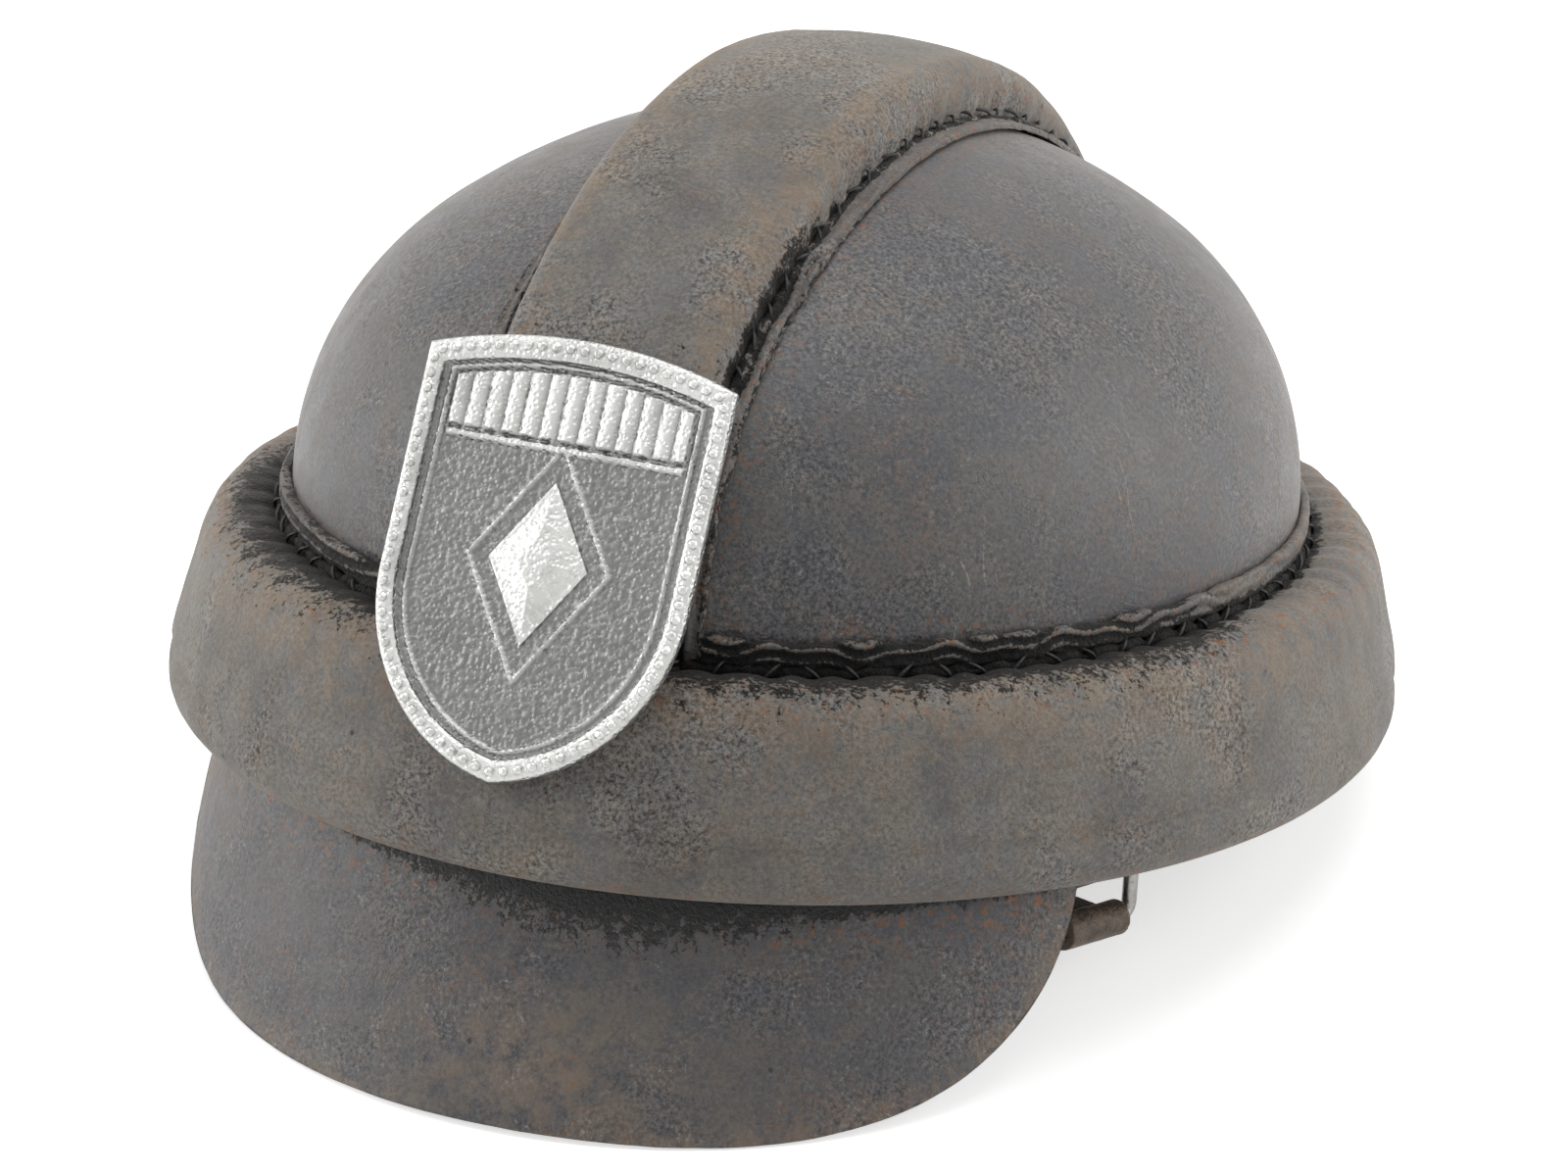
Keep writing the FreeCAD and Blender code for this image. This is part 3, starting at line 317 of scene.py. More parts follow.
def stuff(obj, voxel, pressure, cap, held=None):
    """Blows a coarse copy of a padded piece up as cloth, and lets the piece follow the copy."""
    coarse = duplicate(obj)
    even_skin(coarse, voxel)
    before = points_of(coarse)
    cloth = coarse.modifiers.new("Cloth", "CLOTH")
    if held:
        group = coarse.vertex_groups.new(name="held")
        for index, share in enumerate(held(before)):
            group.add([index], float(share), "REPLACE")
        cloth.settings.vertex_group_mass = group.name
    cloth.settings.use_pressure = True
    cloth.settings.uniform_pressure_force = pressure
    cloth.settings.effector_weights.gravity = 0
    for number in range(1, CLOTH_FRAMES + 1):
        bpy.context.scene.frame_set(number)
    bpy.ops.object.modifier_apply(modifier=cloth.name)
    bpy.context.scene.frame_set(1)
    moved = points_of(coarse) - before
    far = np.linalg.norm(moved, axis=1)[:, None]
    moved *= cap / (far + cap)
    bpy.data.objects.remove(coarse)
    tree = KDTree(len(before))
    for index, point in enumerate(before):
        tree.insert(point, index)
    tree.balance()
    points = points_of(obj)
    for index, point in enumerate(points):
        near = tree.find_n(point, 5)
        weights = np.array([1 / (gap + voxel / 10) ** 2 for _, _, gap in near])
        shift = moved[[place for _, place, _ in near]]
        points[index] += weights @ shift / weights.sum()
    put_points(obj, points)


def arc(across, up, radius, start, end, count):
    """Points of an arc, from one angle in degrees to another."""
    angles = [math.radians(start + (end - start) * step / count) for step in range(count + 1)]
    return [(across + radius * math.cos(a), up + radius * math.sin(a)) for a in angles]


def run_along(path):
    """Length along a path at each of its points."""
    return np.concatenate([[0], np.cumsum(np.linalg.norm(np.diff(path, axis=0), axis=1))])


def evenly(path, spacing):
    """The same path with points at an even spacing."""
    path = np.array(path, float)
    run = run_along(path)
    count = max(2, round(run[-1] / spacing))
    where = np.linspace(0, run[-1], count + 1)
    return np.stack([np.interp(where, run, path[:, axis]) for axis in range(path.shape[1])], 1)


def turned(name, outline, steps, closed=True):
    """Spins an outline of radius and height round the upright axis."""
    clear_selection()
    bpy.ops.mesh.primitive_circle_add(vertices=len(outline), radius=outline[0][0])
    obj = named(bpy.context.object, name)
    put_points(obj, [(radius, 0, height) for radius, height in outline])
    if not closed:
        with editing(obj, False):
            bpy.ops.mesh.select_mode(type="EDGE")
            bpy.ops.object.mode_set(mode="OBJECT")
            last = len(outline) - 1
            for edge in obj.data.edges:
                edge.select = set(edge.vertices) == {0, last}
            bpy.ops.object.mode_set(mode="EDIT")
            bpy.ops.mesh.delete(type="EDGE")
    with editing(obj):
        bpy.ops.mesh.spin(steps=steps, angle=math.tau, center=(0, 0, 0), axis=(0, 0, 1))
    close_up(obj)
    return obj


def laid(name, rows, round_about=False):
    """Lays a grid of faces over rows of points, as leather is laid over a form."""
    rows = np.asarray(rows, float)
    if round_about:
        rows = np.concatenate([rows, rows[:, :1]], axis=1)
    high, wide = rows.shape[:2]
    clear_selection()
    bpy.ops.mesh.primitive_grid_add(x_subdivisions=wide - 1, y_subdivisions=high - 1)
    obj = named(bpy.context.object, name)
    put_points(obj, rows.reshape(-1, 3))
    close_up(obj)
    return obj


def capped(obj):
    """Closes the open ends with faces."""
    with editing(obj, False):
        bpy.ops.mesh.select_non_manifold()
        bpy.ops.mesh.edge_face_add()
        bpy.ops.mesh.select_all(action="SELECT")
        bpy.ops.mesh.normals_make_consistent(inside=False)
    return obj


def copied(node, name, voxel, smoothing):
    """A copy of a solid's skin, remeshed evenly and eased, to be worked on as leather or felt."""
    obj = bpy.data.objects.new(name, CAD[node].data.copy())
    obj.data.name = name
    obj.data.materials.clear()
    bpy.context.scene.collection.objects.link(obj)
    close_up(obj)
    even_skin(obj, voxel)
    modify(obj, "SMOOTH", factor=0.5, iterations=smoothing)
    return obj


def copies(unit, placements, name):
    """Copies a piece to each placement, each with its own mesh, and joins them."""
    made = []
    for placement in placements:
        obj = duplicate(unit)
        obj.data.transform(placement)
        obj.matrix_world = Matrix.Identity(4)
        made.append(obj)
    pick(*made)
    bpy.ops.object.join()
    bpy.data.objects.remove(unit)
    return named(bpy.context.object, name)


def settle(obj):
    """Stretches a piece drawn round to the oval, leans it back and lowers it to its place."""
    form = bpy.context.scene.helmet_form
    obj.scale = (1, form.oval, 1)
    obj.rotation_euler = (-form.lean, 0, 0)
    obj.location = (0, form.rest_back, form.rest_lift)
    pick(obj)
    bpy.ops.object.transform_apply(location=True, rotation=True, scale=True)


def settled_matrix():
    form = bpy.context.scene.helmet_form
    return (Matrix.Translation((0, form.rest_back, form.rest_lift))
            @ Matrix.Rotation(-form.lean, 4, "X") @ Matrix.Diagonal((1, form.oval, 1, 1)))


def drawn(points):
    """Points at rest taken back to where they are drawn, upright and round."""
    back = np.array(settled_matrix().inverted())
    return points @ back[:3, :3].T + back[:3, 3]


def dress(obj, look, body, *nodes, slot=None, angle=40):
    """Gives a finished piece its material, its shading and its body."""
    obj.data.materials.clear()
    obj.data.materials.append(finish(look))
    pick(obj)
    bpy.ops.object.shade_smooth_by_angle(angle=math.radians(angle))
    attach(obj, body)
    if nodes:
        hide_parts(*nodes)
    return obj


# Shapes that several pieces share

def crown_height(form, radius):
    """Height of the shell's outer surface over the rim's plane, at a radius from the axis."""
    centre = form.shell_radius - form.shoulder
    rise = crown_centre(form)
    ball = form.crown_top - rise
    edge = ball * centre / (ball - form.shoulder)
    radius = np.minimum(radius, form.shell_radius)
    over = rise + np.sqrt(np.maximum(ball ** 2 - radius ** 2, 0))
    beside = form.wall_top + np.sqrt(np.maximum(form.shoulder ** 2 - (radius - centre) ** 2, 0))
    return np.where(radius < edge, over, beside)


def above_shell(form, points):
    """Distance of points from the shell's outside: its wall, its shoulder or its crown."""
    radius, height = np.hypot(points[:, 0], points[:, 1]), points[:, 2]
    across, rise = form.shell_radius - form.shoulder, crown_centre(form)
    crown = np.hypot(radius, height - rise) - (form.crown_top - rise)
    shoulder = np.hypot(radius - across, height - form.wall_top) - form.shoulder
    over = np.where(radius * (form.wall_top - rise) < across * (height - rise), crown, shoulder)
    return np.where(height < form.wall_top, radius - form.shell_radius, over)


def vault_centre(form, radius, shoulder, top):
    """Height of a crown's centre, from the shoulder arc that it meets smoothly."""
    across, rise = radius - shoulder, top - shoulder - form.wall_top
    return form.wall_top - (across ** 2 - rise ** 2) / (2 * rise)


def crown_centre(form):
    return vault_centre(form, form.shell_radius, form.shoulder, form.crown_top)


def vault(form, radius, shoulder, top, foot, shoulder_steps, crown_steps):
    """Half a section: from its foot up the wall, round the shoulder and over the crown."""
    across, centre = radius - shoulder, vault_centre(form, radius, shoulder, top)
    turn = math.degrees(math.atan2(form.wall_top - centre, across))
    return ([(radius, foot)]
            + arc(across, form.wall_top, shoulder, 0, turn, shoulder_steps)
            + arc(0, centre, top - centre, turn, 90, crown_steps)[1:])


def shell_outline(form):
    """The shell's outer surface from rim to crown, as radius and height."""
    return vault(form, form.shell_radius, form.shoulder, form.crown_top, form.shell_rim, 24, 24)


def crest_stations(form):
    """Stations over the crest, front to back: place along and up, and the outward way."""
    half = vault(form, form.crest_radius, form.crest_shoulder, form.crest_top, form.crest_foot,
                 40, 60)
    whole = [(-y, z) for y, z in half] + [(y, z) for y, z in reversed(half[:-1])]
    path = evenly(whole, STATION_STEP)
    ahead = np.gradient(path, axis=0)
    ahead /= np.linalg.norm(ahead, axis=1)[:, None]
    return path, np.stack([-ahead[:, 1], ahead[:, 0]], 1)


def stitch_places(total, pitch, draws):
    """Places of stitches along a seam, their strengths, and the seam's length."""
    count = round(total / pitch)
    places = (np.arange(count) + 0.5) * total / count
    places = places + np.array([draws.uniform(-0.12, 0.12) for _ in range(count)]) * pitch
    strengths = np.array([draws.uniform(0.45, 1.15) for _ in range(count)])
    return places, strengths, total


def pinch(along, stitches, width):
    """How strongly the nearest stitch draws in the leather, from 0 to about 1."""
    places, strengths, total = stitches
    around = np.concatenate([places - total, places, places + total])
    force = np.tile(strengths, 3)
    after = np.clip(np.searchsorted(around, along), 1, len(around) - 1)
    pull = np.zeros(len(along))
    for index in (after - 1, after):
        pull = np.maximum(pull, force[index] * np.exp(-((along - around[index]) / width) ** 2))
    return pull


def ring_length(form):
    """Length along the oval seam at each angle round the shell."""
    angles = np.linspace(-math.pi, math.pi, 2401)
    across, along = form.seam_radius * np.cos(angles), form.seam_radius * form.oval * np.sin(angles)
    steps = np.hypot(np.diff(across), np.diff(along))
    return angles, np.concatenate([[0], np.cumsum(steps)])


def smooth_step(low, high, values):
    share = np.clip((values - low) / (high - low), 0, 1)
    return share * share * (3 - 2 * share)


def hump(values, centre, width):
    """1 at a centre, and falling off softly to both sides."""
    return np.exp(-((values - centre) / width) ** 2)


def nearest_to(points, path):
    """For each point, the number of the path's point that is nearest."""
    return np.argmin(((points[:, None] - path[None]) ** 2).sum(2), axis=1)


def thread_unit(name, thread, rise):
    """One stitch, a metre long along X: a short thread that arches over the seam."""
    clear_selection()
    bpy.ops.mesh.primitive_cylinder_add(vertices=6, radius=thread, depth=1)
    unit = named(bpy.context.object, name)
    with editing(unit):
        bpy.ops.transform.rotate(value=math.pi / 2, orient_axis="Y", center_override=(0, 0, 0))
    for cut in range(1, 6):
        with editing(unit):
            bpy.ops.mesh.bisect(plane_co=(cut / 6 - 0.5, 0, 0), plane_no=(1, 0, 0))
    points = points_of(unit)
    bend = 1 - (2 * points[:, 0]) ** 2
    points[:, 2] = points[:, 2] * (0.55 + 0.45 * bend) + rise * bend
    points[:, 1] *= 0.55 + 0.45 * bend
    put_points(unit, points)
    return unit


def between(start, end, outward):
    """A placement that takes a metre-long piece from one point to another."""
    start, end = Vector(start), Vector(end)
    ahead = end - start
    side = Vector(outward).cross(ahead).normalized()
    up = ahead.cross(side).normalized()
    middle = (start + end) / 2
    turn = Matrix((ahead, side, up)).transposed().to_4x4()
    return Matrix.Translation(middle) @ turn


def sewn_round(piece, name, heights, pitch, thread):
    """Lines of stitches round the inner side of a piece that is at rest."""
    settle_by = settled_matrix()
    turn_by = settle_by.to_3x3()
    unit = thread_unit("stitch", thread, thread * 1.2)
    count = round(math.tau * 0.11 / pitch)
    spots = []
    for height in heights:
        start = settle_by @ Vector((0, 0, height))
        for number in range(count):
            ends = []
            for share in (0.14, 0.86):
                angle = math.tau * (number + share) / count
                ahead = turn_by @ Vector((math.cos(angle), math.sin(angle), 0))
                hit, place, normal, _ = piece.ray_cast(start, ahead)
                if hit:
                    ends.append((place, normal))
            if len(ends) == 2 and (ends[0][0] - ends[1][0]).length < 2 * pitch:
                spots.append(between(ends[0][0], ends[1][0], ends[0][1]))
    threads = copies(unit, spots, name)
    return dress(threads, "seam_thread", "helmet", slot="welt_leather", angle=70)


def tube(name, path, radii, looped=False):
    """A tube of changing radius along a path of points."""
    path = np.asarray(path, float)
    ahead = (np.roll(path, -1, 0) - np.roll(path, 1, 0)) if looped else np.gradient(path, axis=0)
    ahead /= np.linalg.norm(ahead, axis=1)[:, None]
    up = np.array([0, 0, 1.0])
    side = np.cross(ahead, up)
    flat = np.linalg.norm(side, axis=1) < 1e-3
    side[flat] = (1, 0, 0)
    side /= np.linalg.norm(side, axis=1)[:, None]
    over = np.cross(side, ahead)
    turns = np.arange(TUBE_SIDES) * math.tau / TUBE_SIDES
    ring = (side[:, None] * np.cos(turns)[None, :, None]
            + over[:, None] * np.sin(turns)[None, :, None])
    rows = path[:, None] + ring * np.asarray(radii)[:, None, None]
    if looped:
        rows = np.concatenate([rows, rows[:1]])
    obj = laid(name, rows, round_about=True)
    return obj if looped else capped(obj)


# Materials

class Board:
    """A node board: adds nodes, feeds their sockets and joins them up."""

    def __init__(self, owner):
        owner.use_nodes = True
        self.tree = owner.node_tree

    def feed(self, socket, value):
        if isinstance(value, bpy.types.NodeSocket):
            self.tree.links.new(value, socket)
        elif hasattr(value, "__len__") and len(value) == 3 and socket.type == "RGBA":
            socket.default_value = (*value, 1)
        else:
            socket.default_value = value

    def add(self, kind, feeds=None, **settings):
        made = self.tree.nodes.new("ShaderNode" + kind)
        for key, setting in settings.items():
            setattr(made, key, setting)
        for key, value in (feeds or {}).items():
            self.feed(made.inputs[key], value)
        return made

    def sum(self, kind, first, second):
        return self.add("Math", {0: first, 1: second}, operation=kind).outputs[0]

    def seen(self):
        """1 for the rays that show a thing itself: straight, mirrored or through glass."""
        rays = self.add("LightPath").outputs
        return self.sum("MAXIMUM", rays["Is Camera Ray"], self.sum(
            "MAXIMUM", rays["Is Glossy Ray"], rays["Is Transmission Ray"]))


class Skin(Board):
    """A material's board, with noises, coats of colour and bumps at places on the piece."""

    def __init__(self, name):
        self.material = bpy.data.materials.new(name)
        super().__init__(self.material)
        self.shader = self.tree.nodes["Principled BSDF"]
        self.place = self.add("TexCoord").outputs["Object"]

    def stretch(self, scale, turn):
        return self.add("Mapping", {"Vector": self.place, "Scale": scale,
                                    "Rotation": turn}).outputs["Vector"]

    def noise(self, size, detail=4, roughness=0.55, place=None, distortion=0):
        made = self.add("TexNoise", {"Vector": place or self.place, "Scale": 1 / size,
                                     "Detail": detail, "Roughness": roughness,
                                     "Distortion": distortion})
        return made.outputs["Fac"]

    def cells(self, size, feature="F1"):
        made = self.add("TexVoronoi", {"Vector": self.place, "Scale": 1 / size},
                        feature=feature)
        return made.outputs["Distance"]

    def range(self, value, low, high, to_low=0.0, to_high=1.0):
        made = self.add("MapRange", {"Value": value, "From Min": low, "From Max": high,
                                     "To Min": to_low, "To Max": to_high},
                        interpolation_type="SMOOTHSTEP")
        return made.outputs["Result"]

    def line(self, value, width):
        """1 where a value is near 0 and falling to 0 over a width."""
        return self.range(value, 0.0, width, 1.0, 0.0)

    def spots(self, size, detail, roughness, low, high):
        """Soft-edged blots of noise."""
        return self.range(self.noise(size, detail, roughness), low, high)

    def vein(self, noise, width):
        """A thin line along the middle level of a noise."""
        off = self.sum("ABSOLUTE", self.sum("SUBTRACT", noise, 0.5), 0.0)
        return self.line(off, width)

    def times(self, *values):
        product = values[0]
        for value in values[1:]:
            product = self.sum("MULTIPLY", product, value)
        return product

    def weigh(self, *parts):
        """The sum of values, each with its weight."""
        total = self.times(*parts[0])
        for value, weight in parts[1:]:
            total = self.add("Math", {0: value, 1: weight, 2: total},
                             operation="MULTIPLY_ADD").outputs[0]
        return total

    def mix(self, share, first, second, blend="MIX"):
        made = self.add("Mix", {0: share, 6: first, 7: second}, data_type="RGBA",
                        blend_type=blend)
        return made.outputs[2]

    def coat(self, skin, colour, *shares):
        """A colour over the skin, as thick as the product of the shares."""
        return self.mix(self.times(*shares), skin, colour)

    def kept(self, name):
        return self.add("Attribute", attribute_name=name,
                        attribute_type="GEOMETRY").outputs["Fac"]

    def bump(self, height, depth, normal=None):
        feeds = {"Height": height, "Distance": depth, "Strength": 1.0}
        if normal:
            feeds["Normal"] = normal
        return self.add("Bump", feeds).outputs["Normal"]

    def set(self, **values):
        for key, value in values.items():
            self.feed(self.shader.inputs[key.replace("_", " ")], value)


def leather(name, base, patina, dark, patch, bloom, wear, contrast, rough, scratch, dots,
            crackle, sheen, rust=0.12, veins=0.4, grain_depth=0.0002, cloud_depth=0.0004,
            specular=0.4):
    """Old leather: patches broken up by fine specks, scratches, rust, smudges and black wax."""
    tone = bpy.context.scene.helmet_finish
    board = Skin(name)
    even = (1, 1, 1)
    # Noises that several layers share
    speck = board.noise(0.0010, 5, 0.8)
    pepper = board.noise(0.0008, 3, 0.7, board.stretch(even, (0.9, 0.4, 0.2)))
    clouds = board.noise(patch / 5, 5, 0.65)
    salt = board.weigh((speck, 0.5), (pepper, 0.5))
    # Brown bloom and dark worn patches
    patches = board.noise(patch, 5, 0.6, distortion=0.5)
    brown = board.weigh((patches, 0.32), (clouds, 0.28), (speck, 0.4))
    skin = board.coat(base, patina, board.range(brown, 0.44, 0.57), bloom)
    shadows = board.noise(patch * 0.7, 5, 0.65, board.stretch(even, (1.1, 0.3, 2.0)))
    worn = board.weigh((shadows, 0.45), (pepper, 0.55))
    skin = board.coat(skin, dark, board.range(worn, 0.48, 0.60), wear)
    # Grit: the skin's own colour, lighter and darker, more in some places
    grit = board.range(board.noise(patch * 1.3, 4, 0.6, board.stretch(even, (0.2, 1.7, 0.6))),
                       0.44, 0.60)
    swing = board.times(board.range(salt, 0.37, 0.63, -1.0, 1.0),
                        board.range(grit, 0.0, 1.0, contrast * 0.4, contrast))
    grey = board.sum("ADD", swing, 1.0)
    skin = board.mix(1.0, skin, board.add("CombineColor", {
        "Red": grey, "Green": grey, "Blue": grey}).outputs[0], "MULTIPLY")
    # Rubbed edges, scratches, pale dust and pits
    skin = board.coat(skin, tone.cover_edge, board.kept("wear"),
                      board.range(clouds, 0.35, 0.6), 0.5)
    hair = board.noise(0.012, 2, 0.5, board.stretch((1, 0.35, 0.22), (0.5, 0.3, 0.2)), 0.6)
    skin = board.coat(skin, tone.scuff, board.vein(hair, 0.0035),
                      board.spots(0.02, 2, 0.55, 0.5, 0.62),
                      board.range(speck, 0.42, 0.55), scratch)
    skin = board.coat(skin, tone.scuff, board.spots(0.0010, 4, 0.7, 0.57, 0.67),
                      board.spots(0.012, 4, 0.7, 0.46, 0.62),
                      board.range(grit, 0.0, 1.0, 0.35, 1.0), dots)
    skin = board.coat(skin, tone.wax, board.range(board.cells(0.0062), 0.07, 0.12, 1.0, 0.0),
                      board.spots(0.022, 3, 0.55, 0.55, 0.63), 0.75)
    # Rusty flecks and veins
    skin = board.coat(skin, tone.rust, board.sum("ADD", board.kept("rust"), rust),
                      board.spots(0.0024, 4, 0.7, 0.53, 0.63), 0.85)
    skin = board.coat(skin, tone.rust, board.vein(board.noise(0.0075, 4, 0.7), 0.022),
                      board.spots(patch * 0.8, 3, 0.6, 0.50, 0.64),
                      board.range(speck, 0.40, 0.55), veins)
    # Greasy smudges and ragged black wax beside the seams
    blotch = board.weigh((speck, 0.6), (clouds, 0.4))
    skin = board.coat(skin, tone.smudge, board.range(board.kept("seam"), 0.40, 1.0),
                      board.range(blotch, 0.38, 0.6, 0.9, 0.45))
    ragged = board.weigh((board.kept("seam"), 1.0), (board.noise(0.0045, 4, 0.7), 0.5),
                         (board.noise(0.0012, 4, 0.75), 0.8))
    wax = board.range(ragged, 1.14, 1.21)
    skin = board.mix(wax, skin, tone.wax)
    cracks = board.times(board.line(board.cells(0.0022, "DISTANCE_TO_EDGE"), 0.08),
                         board.spots(0.016, 3, 0.55, 0.48, 0.62))
    skin = board.coat(skin, dark, cracks, crackle)
    sheer = board.sum("SUBTRACT", board.range(clouds, 0.3, 0.7, rough - 0.07, rough + 0.07),
                      board.times(wax, 0.08))
    normal = board.bump(salt, grain_depth)
    normal = board.bump(clouds, cloud_depth, normal)
    normal = board.bump(board.times(cracks, -1.0), 0.00006, normal)
    normal = board.bump(board.times(wax, board.noise(0.0011, 4, 0.7)), 0.0012, normal)
    board.set(Base_Color=skin, Roughness=sheer, Normal=normal, Specular_IOR_Level=specular,
              Sheen_Weight=sheen, Sheen_Roughness=0.4, Sheen_Tint=tuple(tone.haze))


def felted(name, base):
    """Grey felt with loose fibres and darker tufts."""
    board = Skin(name)
    tufts = board.noise(0.006, 6, 0.75)
    fibres = board.noise(0.0009, 5, 0.8, board.stretch((1, 1, 2.4), (0.4, 0.7, 0)))
    shade_low = tuple(0.55 * level for level in base)
    shade_high = tuple(min(1, 1.35 * level) for level in base)
    wool = board.mix(board.range(tufts, 0.35, 0.65), shade_low, base)
    wool = board.mix(board.range(fibres, 0.45, 0.7), wool, shade_high)
    normal = board.bump(fibres, 0.0005, board.bump(tufts, 0.0011))
    board.set(Base_Color=wool, Roughness=0.95, Normal=normal, Sheen_Weight=0.35,
              Specular_IOR_Level=0.15)


def metal(name, base, dark, rough, pits, stain, granular=0.0):
    """Metal with tarnish in its hollows, pits and a cast or rolled skin."""
    board = Skin(name)
    clouds, specks = board.noise(0.011, 5, 0.65), board.noise(0.0014, 5, 0.7)
    skin = board.coat(base, dark, board.range(clouds, 0.45, 0.7), stain)
    skin = board.coat(skin, dark, board.range(specks, 0.56, 0.68), pits)
    skin = board.coat(skin, dark, board.kept("hollow"), 0.8)
    normal = board.bump(specks, 0.00008 + 0.00012 * granular)
    if granular:
        grit = board.range(board.cells(0.0011), 0.0, 0.6)
        normal = board.bump(grit, 0.0003 * granular, normal)
    board.set(Base_Color=skin, Roughness=board.range(specks, 0.3, 0.7, rough - 0.1, rough + 0.14),
              Normal=normal, Metallic=1.0)


def waxed_thread(name, base, dust):
    """Black waxed thread: twisted strands, dusty on top."""
    board = Skin(name)
    strands = board.noise(0.0007, 4, 0.7)
    skin = board.coat(base, dust, board.spots(0.006, 4, 0.7, 0.52, 0.7), 0.5)
    board.set(Base_Color=skin, Roughness=board.range(strands, 0.3, 0.7, 0.35, 0.6),
              Normal=board.bump(strands, 0.0004), Specular_IOR_Level=0.5)


# Each finish: how it is made, its colours and its measures
FINISHES = {
    "dome_leather": (leather, "dome dome_patina cover_dark", dict(
        patch=0.034, bloom=0.55, wear=0.4, contrast=0.8, rough=0.44, scratch=0.8, dots=0.7,
        crackle=0.06, sheen=0.35, rust=0.06, grain_depth=0.00010, cloud_depth=0.0002)),
    "cover_leather": (leather, "cover cover_patina cover_dark", dict(
        patch=0.03, bloom=0.5, wear=0.5, contrast=0.85, rough=0.58, scratch=0.3, dots=0.45,
        crackle=0.15, sheen=0.25, rust=0.14, specular=0.15)),
    "visor_leather": (leather, "visor dome_patina cover_dark", dict(
        patch=0.026, bloom=0.5, wear=0.6, contrast=0.8, rough=0.44, scratch=0.6, dots=1.0,
        crackle=0.1, sheen=0.35, rust=0.1, veins=0.5, grain_depth=0.00016)),
    "welt_leather": (leather, "welt cover_patina cover_dark", dict(
        patch=0.02, bloom=0.5, wear=0.55, contrast=0.8, rough=0.5, scratch=0.3, dots=0.4,
        crackle=0.15, sheen=0.25, grain_depth=0.0003, specular=0.18)),
    "liner_leather": (leather, "liner liner_patina liner_dark", dict(
        patch=0.03, bloom=0.6, wear=0.7, contrast=0.2, rough=0.58, scratch=0.12, dots=0.12,
        crackle=0.3, sheen=0.15, rust=0.03)),
    "strap_leather": (leather, "strap liner_dark cover_dark", dict(
        patch=0.02, bloom=0.5, wear=0.5, contrast=0.25, rough=0.5, scratch=0.2, dots=0.2,
        crackle=0.5, sheen=0.15, rust=0.03)),
    "felt": (felted, "felt", {}),
    "steel": (metal, "steel cover_dark", dict(rough=0.32, pits=0.5, stain=0.25)),
    "rivet_steel": (metal, "steel rust", dict(rough=0.42, pits=0.6, stain=0.4)),
    "cast_zinc": (metal, "zinc zinc_dark", dict(rough=0.34, pits=0.3, stain=0.25,
                                                granular=0.6)),
    "seam_thread": (waxed_thread, "wax cover_dark", {}),
}


def finish(name):
    """The aged finish of that name, made when it is first asked for."""
    label = "aged_" + name
    if label not in bpy.data.materials:
        make, colours, measures = FINISHES[name]
        tone = bpy.context.scene.helmet_finish
        make(label, *[tuple(getattr(tone, colour)) for colour in colours.split()], **measures)
    return bpy.data.materials[label]


# Pieces

def finished(*pieces):
    """What an operator returns; a piece that came out empty is an error."""
    for obj in pieces:
        if not obj.data.vertices:
            raise RuntimeError(obj.name + " came out empty")
    return {"FINISHED"}


class HELMET_OT_dome(bpy.types.Operator):
    """Spin the dome's profile, thicken it inwards and let its hardened leather wave a little"""
    bl_idname = "helmet.dome"
    bl_label = "Dome"
    bl_options = {"REGISTER", "UNDO"}

    def execute(self, context):
        form = context.scene.helmet_form
        profile = evenly(shell_outline(form), PROFILE_STEP).tolist()
        dome = turned("dome", profile, DOME_STEPS, closed=False)
        wrinkle(dome, 0.045, 0.0005, "dome_waves")
        wrinkle(dome, 0.012, 0.00012, "dome_dents")
        modify(dome, "SOLIDIFY", thickness=form.shell_wall, offset=-1)
        x, y, z = points_of(dome).T
        outside = z >= crown_height(form, np.hypot(x, y)) - form.shell_wall / 2
        beside, low = np.abs(np.abs(x) - form.crest_half), np.abs(z - form.crest_foot)
        near = np.minimum(beside, low)
        ahead = smooth_step(0.01, -0.05, y) * (low < beside)
        rear = smooth_step(0.0, 0.05, y) * 0.5 + 0.5
        note(dome, seam=outside * (0.30 + 0.22 * ahead - np.clip(near - 0.005, 0, 1) / 0.012),
             rust=outside * (1 - np.abs(near - 0.0065) / 0.005) * rear, wear=0)
        settle(dome)
        dress(dome, "dome_leather", "helmet", "dome_shell")
        return finished(dome)


def crest_rows(form, path, outward):
    """The crest's sections: over its gently round top, down each side and back underneath."""
    ball, half, edge = form.crest_radius, form.crest_half, form.crest_round
    flat = half - edge
    sag = ball - math.sqrt(ball ** 2 - flat ** 2)
    low = -sag - edge
    top = [(x, -(ball - math.sqrt(ball ** 2 - x ** 2))) for x in np.linspace(0, flat, 15)[:-1]]
    top += arc(flat, low, edge, 90, 0, 7)
    rows = []
    for place, out in zip(path, outward):
        depth = crest_depth(form, place, out, half)
        side = [(half, low + (-depth - low) * (step + 1) / SIDE_STEPS)
                for step in range(SIDE_STEPS)]
        under = [half * (1 - 2 * step / UNDER_STEPS) for step in range(1, UNDER_STEPS)]
        under = [(x, -crest_depth(form, place, out, abs(x))) for x in under]
        right = top + side
        loop = right + under + [(-x, height) for x, height in reversed(right[1:])]
        rows.append([(x, *(place + out * height)) for x, height in loop])
    return rows


def crest_depth(form, place, out, across):
    """Distance from a station inwards to the shell, at a place across."""
    low, high = 0.0, 0.03
    for _ in range(24):
        middle = (low + high) / 2
        y, z = place - out * middle
        radius = math.hypot(across, y)
        clear = radius > form.shell_radius or (
            z >= form.wall_top and z > float(crown_height(form, radius)))
        low, high = (middle, high) if clear else (low, middle)
    return low - BEDDED


